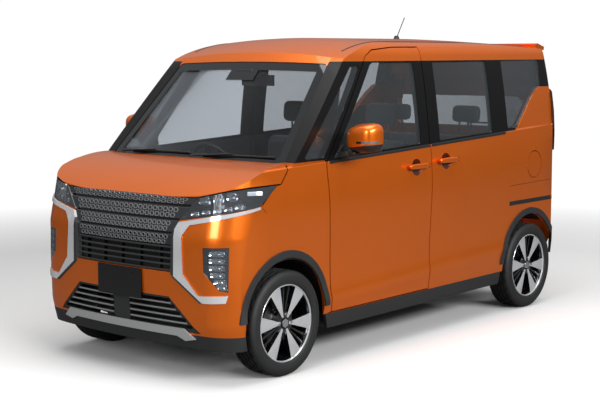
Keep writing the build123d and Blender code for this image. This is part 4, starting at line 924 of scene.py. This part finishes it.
panelOf = {
    "door_left": "front_door_left", "door_right": "front_door_right", "slide_left": "sliding_doors",
    "slide_right": "sliding_doors"
}
for key, (x, z, sign) in trim["handles"].items():
    nodeName = panelOf[key]
    tree = surfaceOf(nodeName)
    spot = tree.ray_cast(Vector((x, sign * 1.5, z - 0.034)), Vector((0, -sign, 0)))[0]
    if spot is None:
        continue
    a, d = trim["cupRadius"], trim["cupDepth"]
    ball = (a * a + d * d) / (2 * d)
    bm = bmesh.new()
    bmesh.ops.create_uvsphere(bm, u_segments=72, v_segments=48, radius=ball)
    bmesh.ops.rotate(bm, cent=(0, 0, 0), matrix=Matrix.Rotation(math.radians(90), 3, "X"), verts=bm.verts)
    bmesh.ops.translate(bm, vec=Vector((x, spot.y, z)) + Vector((0, sign, 0)) * (ball - d), verts=bm.verts)
    distant = [v for v in bm.verts if (v.co - Vector((x, spot.y, z))).length > trim["cutterReach"]]
    bmesh.ops.delete(bm, geom=distant, context="VERTS")
    hole = [e for e in bm.edges if len(e.link_faces) == 1]
    bmesh.ops.holes_fill(bm, edges=hole, sides=0)
    bmesh.ops.recalc_face_normals(bm, faces=bm.faces)
    cutter = makeObject("cup_cutter", bm, [blackTrim])
    panel = bpy.data.objects[nodeName + "_skin"]
    carve = panel.modifiers.new("cup", "BOOLEAN")
    carve.operation = "DIFFERENCE"
    carve.object = cutter
    carve.solver = "EXACT"
    bpy.context.view_layer.update()
    graph = bpy.context.evaluated_depsgraph_get()
    carved = bpy.data.meshes.new_from_object(panel.evaluated_get(graph))
    panel.modifiers.clear()
    if len(carved.polygons) > 50:
        panel.data = carved
        carved.materials.append(cupShadePaint)
        shade = len(carved.materials) - 1
        middle = Vector((x, spot.y + sign * (ball - d), z))
        # faces on the cup's sphere take the darker paint: painted shade inside the recess
        for face in carved.polygons:
            corners = [carved.vertices[i].co for i in face.vertices]
            if all(abs((c - middle).length - ball) < 0.0008 for c in corners):
                face.material_index = shade
    bm = bmesh.new()
    roundShell(bm, (x + 0.004, sign * trim["gripY"], z), trim["gripHalf"], 0.55, 40, 20)
    shadeByAngle(bm, 60)
    dress(makeObject("grip_" + key, bm, [paintPlain]), bodyOf[nodeName], "body_paint")
    bpy.data.objects.remove(cutter)
print("handle cups made")

belt = lambda x: band["belt"] + band["slope"] * x - trim["beltDrop"]
for sign, side in ((1, "left"), (-1, "right")):
    for key, nodeName, body, (x0, x1) in (
        ("front", "front_door_" + side, "door_" + side, trim["beltFront"]),
        ("slide", "sliding_doors", "body", trim["beltSlide"]),
    ):
        tree = surfaceOf(nodeName)
        hits = sideHits(tree, sign, [(x0, belt(x0)), (x1, belt(x1))], 14)
        ribbon(
            f"belt_moulding_{key}_{side}", hits, trim["beltHalf"], trim["beltRise"], satinBlack, body,
            "black_trim"
        )
    roof = surfaceOf("roof_panel", "body_sides")
    hits = []
    for k in range(trim["ditchSteps"] + 1):
        x = trim["ditchStart"] - k * trim["ditchLength"] / trim["ditchSteps"]
        hit, normal = roof.ray_cast(Vector((x, sign * trim["ditchY"], 2.2)), Vector((0, 0, -1)))[:2]
        if hit is not None and hit.z > 1.6:
            hits.append((hit, normal))
    ribbon("roof_ditch_" + side, hits, trim["ditchHalf"], trim["ditchRise"], satinBlack, "body", "black_trim")

# fine dark joints between panels that meet closely, and the rail covers of the sliding doors
seams = [
    (
        "wing_joint", ("front_wings", "front_bumper"),
        [(1.3202, 0.640), (1.3202, 0.800), (1.3522, 0.880), (1.3880, 0.909)], 6, 0.0013, 0.0003
    ),
    ("quarter_joint", ("body_sides",), [(-1.000, 0.832), (-1.640, 0.841)], 16, 0.0014, 0.0003),
    ("slide_rail", ("body_sides",), [(-1.012, 0.716), (-1.600, 0.716)], 16, 0.0135, 0.0016),
]
for sign, side in ((1, "left"), (-1, "right")):
    for seamName, nodeNames, line, steps, half, lift in seams:
        hits = sideHits(surfaceOf(*nodeNames), sign, line, steps)
        if len(hits) > 2:
            ribbon(f"{seamName}_{side}", hits, half, lift, satinBlack, "body", "black_trim", flat=True)

# door mirrors: paint above, black beneath, with a bright repeater
mirrorShell = {
    "centre": (0.7080, 0.868, 1.2330), "half": (0.0700, 0.0960, 0.0790), "power": 0.52,
    "split": 1.192, "tilt": 0.12, "flatAt": 0.6405, "rimAt": 0.652,
    "reachX": 0.0675, "reachY": 0.0845, "footCut": 0.765,
    "stalks": [
        ((0.728, 0.762, 1.142), (0.054, 0.088, 0.026)), ((0.735, 0.818, 1.152), (0.050, 0.050, 0.022))
    ],
    "repeaterFrom": (0.70, 0.86, 1.214), "repeaterTurns": (4, 84),
}
for sign, side in ((1, "left"), (-1, "right")):
    bm = bmesh.new()
    cx, cy, cz = mirrorShell["centre"]
    made = roundShell(bm, mirrorShell["centre"], mirrorShell["half"], mirrorShell["power"])
    for v in made:
        x, y, z = v.co - Vector(mirrorShell["centre"])
        ahead = max(x, 0.0) / mirrorShell["reachX"]
        taper = 1.0 - 0.14 * ahead - 0.10 * max(-y, 0.0) / mirrorShell["reachY"]
        v.co.z = cz + z * taper + 0.006 * (y / mirrorShell["reachY"])
        v.co.y = cy + y * (1.0 - 0.12 * ahead)
        v.co.x = max(v.co.x, mirrorShell["flatAt"])
    cuts = list(bm.verts) + list(bm.edges) + list(bm.faces)
    bmesh.ops.bisect_plane(
        bm, geom=cuts, dist=0.00001, plane_co=(0, cy, mirrorShell["split"]), plane_no=(
            0, -mirrorShell["tilt"], 1
        )
    )
    for face in bm.faces:
        centre = face.calc_center_median()
        under = centre.z - mirrorShell["tilt"] * (centre.y - cy) < mirrorShell["split"]
        face.material_index = 1 if under or centre.x < mirrorShell["rimAt"] else 0
    for middle, size in mirrorShell["stalks"]:
        addBlock(bm, middle, size, 0.010, 1)
    if sign < 0:
        flipSide(bm)
    bmesh.ops.recalc_face_normals(bm, faces=bm.faces)
    shadeByAngle(bm, 40)
    bm.verts.ensure_lookup_table()
    tree = BVHTree.FromBMesh(bm)
    dress(
        makeObject("door_mirror_" + side + "_shell", bm, [paintPlain, satinBlack]), "door_" + side,
        "body_paint", "door_mirror_" + side
    )
    hits = []
    turn0, turn1 = mirrorShell["repeaterTurns"]
    for k in range(17):
        a = math.radians(turn0 + (turn1 - turn0) * k / 16)
        rx, ry, rz = mirrorShell["repeaterFrom"]
        start = Vector((rx + 0.5 * math.cos(a), sign * (ry + 0.5 * math.sin(a)), rz))
        hit, normal = tree.ray_cast(start, Vector((-math.cos(a), -sign * math.sin(a), 0)))[:2]
        if hit is not None:
            hits.append((hit, normal))
    if len(hits) > 3:
        ribbon(
            "mirror_repeater_" + side, hits, 0.0058, 0.0012, lampSilver, "door_" + side, "lamp_lens",
            flat=True
        )
    foot = copyOf("door_mirror_" + side)
    cuts = list(foot.verts) + list(foot.edges) + list(foot.faces)
    at = (0, sign * mirrorShell["footCut"], 0)
    bmesh.ops.bisect_plane(
        foot, geom=cuts, dist=0.00001, plane_co=at, plane_no=(0, sign, 0), clear_outer=True
    )
    bmesh.ops.holes_fill(foot, edges=[e for e in foot.edges if len(e.link_faces) == 1], sides=0)
    bmesh.ops.recalc_face_normals(foot, faces=foot.faces)
    shadeByAngle(foot, 30)
    dress(makeObject("door_mirror_" + side + "_foot", foot, [satinBlack]), "door_" + side, "black_trim")
print("mirrors and mouldings made")

# details behind the windscreen and on the dashboard
cabin = {
    "sensor": ((0.655, 0.0, 1.578), (0.10, 0.13, 0.034)),
    "screen": ((0.690, 0.02, 1.035), (0.018, 0.25, 0.130)), "display": (
        (0.6795, 0.02, 1.037), (0.002, 0.228, 0.112)
    ),
    "screenLean": -12, "hood": ((0.735, -0.345, 1.062), (0.10, 0.30, 0.06)),
    "ventY": (0.55, 0.20, -0.12, -0.57), "vent": (0.668, 0.945, (0.02, 0.10, 0.05)),
    "vane": (0.6565, 0.929, (0.004, 0.088, 0.003)), "vanePitch": 0.0105,
}
bm = bmesh.new()
addBlock(bm, *cabin["sensor"], 0.010, 0)
dress(makeObject("screen_sensor_box", bm, [satinBlack]), "body", "black_trim")
bm = bmesh.new()
lean = Matrix.Rotation(math.radians(cabin["screenLean"]), 3, "Y")
addBlock(bm, *cabin["screen"], 0.006, 0, lean)
addBlock(bm, *cabin["display"], 0.0, 1, lean)
addBlock(bm, *cabin["hood"], 0.016, 0)
for y in cabin["ventY"]:
    x, z, size = cabin["vent"]
    addBlock(bm, (x, y, z), size, 0.006, 0)
    x, z, size = cabin["vane"]
    for k in range(4):
        addBlock(bm, (x, y, z + k * cabin["vanePitch"]), size, 0.0, 2)
dress(makeObject("dash_details", bm, [satinBlack, glossBlack, silverTrim]), "body", "dash_plastic")

# seats are stuffed: each pad is swollen by a short cloth simulation
seats = {
    "voxel": 0.011, "pressure": 4.0, "frames": 20, "cap": 0.014, "tuck": 0.012, "frontY": 0.33,
    "front": [
        ((0.110, 0.0, 0.562), (0.47, 0.47, 0.135), 0.05, 0.0),
        ((-0.118, 0.0, 0.880), (0.115, 0.455, 0.60), 0.045, -8.5),
        ((-0.186, 0.0, 1.316), (0.085, 0.24, 0.145), 0.032, -4.0)
    ],
    "rear": [
        ((-0.885, 0.0, 0.562), (0.46, 1.00, 0.135), 0.05, 0.0),
        ((-1.145, 0.0, 0.880), (0.10, 1.00, 0.56), 0.04, -9.0),
        ((-1.222, 0.28, 1.278), (0.080, 0.22, 0.125), 0.03, -4.0),
        ((-1.222, -0.28, 1.278), (0.080, 0.22, 0.125), 0.03, -4.0)
    ],
}


def stuffed(name, pads, dy, nodeName, first):
    bm = bmesh.new()
    for (x, y, z), size, bevel, lean in pads:
        small = tuple(v - seats["tuck"] for v in size)
        addBlock(bm, (x, y + dy, z), small, bevel, 0, Matrix.Rotation(math.radians(lean), 3, "Y"))
    pad = makeObject(name, bm, [seatCloth])
    remesh = pad.modifiers.new("remesh", "REMESH")
    remesh.mode = "VOXEL"
    remesh.voxel_size = seats["voxel"]
    bpy.context.view_layer.update()
    pad.data = bpy.data.meshes.new_from_object(pad.evaluated_get(bpy.context.evaluated_depsgraph_get()))
    pad.modifiers.clear()
    rest = [v.co.copy() for v in pad.data.vertices]
    cloth = pad.modifiers.new("cloth", "CLOTH")
    cloth.settings.use_pressure = True
    cloth.settings.uniform_pressure_force = seats["pressure"]
    cloth.settings.effector_weights.gravity = 0.0
    cloth.settings.quality = 5
    cloth.collision_settings.use_collision = False
    for k in range(1, seats["frames"] + 1):
        bpy.context.scene.frame_set(k)
    swollen = bpy.data.meshes.new_from_object(pad.evaluated_get(bpy.context.evaluated_depsgraph_get()))
    pad.modifiers.clear()
    for v, at in zip(swollen.vertices, rest):
        move = v.co - at
        if move.length > seats["cap"]:
            v.co = at + move.normalized() * seats["cap"]
    pad.data = swollen
    for face in pad.data.polygons:
        face.use_smooth = True
    finer = pad.modifiers.new("finer", "SUBSURF")
    finer.levels = finer.render_levels = 1
    dress(pad, "body", "seat_cloth")
    if first:
        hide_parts(nodeName)


def addStalks(bm, x, middle, half, z, tall):
    for e in (-half, half):
        addPeg(bm, (x, middle + e, z), 0.006, 0.006, tall, 12, 1)


stuffed("front_seat_left_pad", seats["front"], seats["frontY"], "front_seats", True)
stuffed("front_seat_right_pad", seats["front"], -seats["frontY"], "front_seats", False)
stuffed("rear_seat_pad", seats["rear"], 0.0, "rear_seat", True)
bpy.context.scene.frame_set(1)
bm = bmesh.new()
for dy in (seats["frontY"], -seats["frontY"]):
    addBlock(bm, (0.10, dy, 0.365), (0.40, 0.36, 0.262), 0.02, 0)
    addStalks(bm, -0.182, dy, 0.05, 1.215, 0.11)
    for s in (-1, 1):
        addBlock(bm, (0.10, dy + s * 0.243, 0.545), (0.44, 0.012, 0.10), 0.005, 0)
addBlock(bm, (-0.8425, 0.0, 0.365), (0.285, 0.96, 0.262), 0.02, 0)
for y in (-0.28, 0.28):
    addStalks(bm, -1.211, y, 0.045, 1.190, 0.10)
dress(makeObject("seat_bases", bm, [darkPlastic, lampSilver]), "body", "seat_cloth")
print("seats made")

# the tail: a badge-free strip, reflectors and a bare plate panel
gate = surfaceOf("tailgate")
back = surfaceOf("rear_bumper")


def tailHits(tree, line):
    found = [tree.ray_cast(Vector((-2.6, y, z)), Vector((1, 0, 0)))[:2] for y, z in line]
    return [h for h in found if h[0] is not None]


def level(y0, y1, z, steps):
    return [(y0 + (y1 - y0) * k / steps, z) for k in range(steps + 1)]


tail = {
    "strip": (-0.42, 0.42, 1.060, 16), "plate": (-0.165, 0.165, 0.86, 6),
    "reflector": (0.44, 0.54, 0.40, 4)
}
ribbon(
    "tailgate_strip", tailHits(gate, level(*tail["strip"])), 0.018, 0.006, glossBlack, "tailgate",
    "black_trim"
)
hits = tailHits(gate, level(*tail["plate"]))
ribbon("rear_plate_panel", hits, 0.083, 0.0025, satinBlack, "tailgate", "black_trim", flat=True)
for sign, side in ((-1, "right"), (1, "left")):
    hits = tailHits(back, [(sign * y, z) for y, z in level(*tail["reflector"])])
    if len(hits) > 2:
        ribbon("rear_reflector_" + side, hits, 0.018, 0.003, redLens, "body", "lamp_lens")
print("tail made")

# stage: pale floor, soft light and the camera of the photograph
studio = {
    "cameraPlace": (6.2657, 5.0091, 1.6794), "yaw": 3.8746, "pitch": -0.1096, "roll": -0.0036,
    "lens": 77.574, "shift": (0.0919, -0.005),
    "skyTop": 0.72, "skyHorizon": 0.10, "skyPower": 0.65, "backdrop": 1.02,
    "floorReach": (3.8, 7.0), "floorPale": 0.66, "floorGrey": 0.16, "floorSize": 30.0,
    "softboxes": [
        ("roof_softbox", (0.6, 0.6, 6.5), (0, 0, 0), (6.0, 5.0), 330),
        ("side_softbox", (1.5, 8.0, 4.2), (0, 0, 0.9), (7.0, 1.6), 900),
        ("front_softbox", (8.0, 1.0, 3.2), (1.5, 0, 0.7), (3.0, 2.4), 250),
    ],
}
world = bpy.data.worlds.new("studio")
bpy.context.scene.world = world
world.use_nodes = True
tree = world.node_tree
tree.nodes.clear()
direction = tree.nodes.new("ShaderNodeTexCoord").outputs["Generated"]
axes = tree.nodes.new("ShaderNodeSeparateXYZ")
tree.links.new(direction, axes.inputs[0])
rise = calc(tree, "MAXIMUM", axes.outputs[2], 0.0)
span = studio["skyTop"] - studio["skyHorizon"]
glow = calc(tree, "MULTIPLY_ADD", calc(tree, "POWER", rise, studio["skyPower"]), span, studio["skyHorizon"])
soft = addNode(tree, "ShaderNodeBackground")
tree.links.new(glow, soft.inputs["Strength"])
plainBack = addNode(tree, "ShaderNodeBackground", Color=(1, 1, 1, 1), Strength=studio["backdrop"])
path = tree.nodes.new("ShaderNodeLightPath")
pick = tree.nodes.new("ShaderNodeMixShader")
tree.links.new(path.outputs["Is Camera Ray"], pick.inputs[0])
tree.links.new(soft.outputs[0], pick.inputs[1])
tree.links.new(plainBack.outputs[0], pick.inputs[2])
out = tree.nodes.new("ShaderNodeOutputWorld")
tree.links.new(pick.outputs[0], out.inputs[0])

floorMat, tree, shader = newMaterial("studio floor", (studio["floorPale"],) * 3 + (1.0,), 0.9)
shader.inputs["Specular IOR Level"].default_value = 0.0
place, fx, fy, fz = objectPlace(tree)
square = calc(tree, "ADD", calc(tree, "MULTIPLY", fx, fx), calc(tree, "MULTIPLY", fy, fy))
away = calc(tree, "SQRT", square)
near, far = studio["floorReach"]
gone = calc(tree, "MULTIPLY", calc(tree, "SUBTRACT", away, near), 1.0 / (far - near))
fade = calc(tree, "MINIMUM", calc(tree, "MAXIMUM", gone, 0.0), 1.0)
blank = addNode(tree, "ShaderNodeEmission", Color=(1, 1, 1, 1), Strength=studio["backdrop"])
seen = tree.nodes.new("ShaderNodeLightPath")
floorMix = tree.nodes.new("ShaderNodeMixShader")
tree.links.new(fade, floorMix.inputs[0])
tree.links.new(shader.outputs[0], floorMix.inputs[1])
tree.links.new(blank.outputs[0], floorMix.inputs[2])
dim = addNode(tree, "ShaderNodeBsdfDiffuse", Color=(studio["floorGrey"],) * 3 + (1.0,))
byRay = tree.nodes.new("ShaderNodeMixShader")
tree.links.new(seen.outputs["Is Camera Ray"], byRay.inputs[0])
tree.links.new(dim.outputs[0], byRay.inputs[1])
tree.links.new(floorMix.outputs[0], byRay.inputs[2])
tree.links.new(byRay.outputs[0], tree.nodes["Material Output"].inputs[0])
bm = bmesh.new()
bmesh.ops.create_grid(bm, x_segments=1, y_segments=1, size=studio["floorSize"])
floor = makeObject("studio_floor", bm, [floorMat])


def areaLight(name, place, aim, size, power):
    data = bpy.data.lights.new(name, "AREA")
    data.shape = "RECTANGLE"
    data.size, data.size_y = size
    data.energy = power
    made = bpy.data.objects.new(name, data)
    made.location = place
    made.rotation_euler = (Vector(aim) - Vector(place)).to_track_quat("-Z", "Y").to_euler()
    bpy.context.scene.collection.objects.link(made)


for box in studio["softboxes"]:
    areaLight(*box)

cameraData = bpy.data.cameras.new("photo_camera")
cameraData.lens = studio["lens"]
cameraData.sensor_width = 36.0
cameraData.shift_x, cameraData.shift_y = studio["shift"]
cameraData.clip_start, cameraData.clip_end = 0.05, 200.0
cp, sp = math.cos(studio["pitch"]), math.sin(studio["pitch"])
look = Vector((cp * math.cos(studio["yaw"]), cp * math.sin(studio["yaw"]), sp))
right = look.cross(Vector((0, 0, 1))).normalized()
above = right.cross(look)
c, s = math.cos(studio["roll"]), math.sin(studio["roll"])
across, upward = right * c + above * s, above * c - right * s
camera = bpy.data.objects.new("photo_camera", cameraData)
matrix = Matrix((across, upward, -look)).transposed().to_4x4()
matrix.translation = Vector(studio["cameraPlace"])
camera.matrix_world = matrix
bpy.context.scene.collection.objects.link(camera)
bpy.context.scene.camera = camera
bpy.context.scene.view_settings.view_transform = "Standard"
print("stage made")
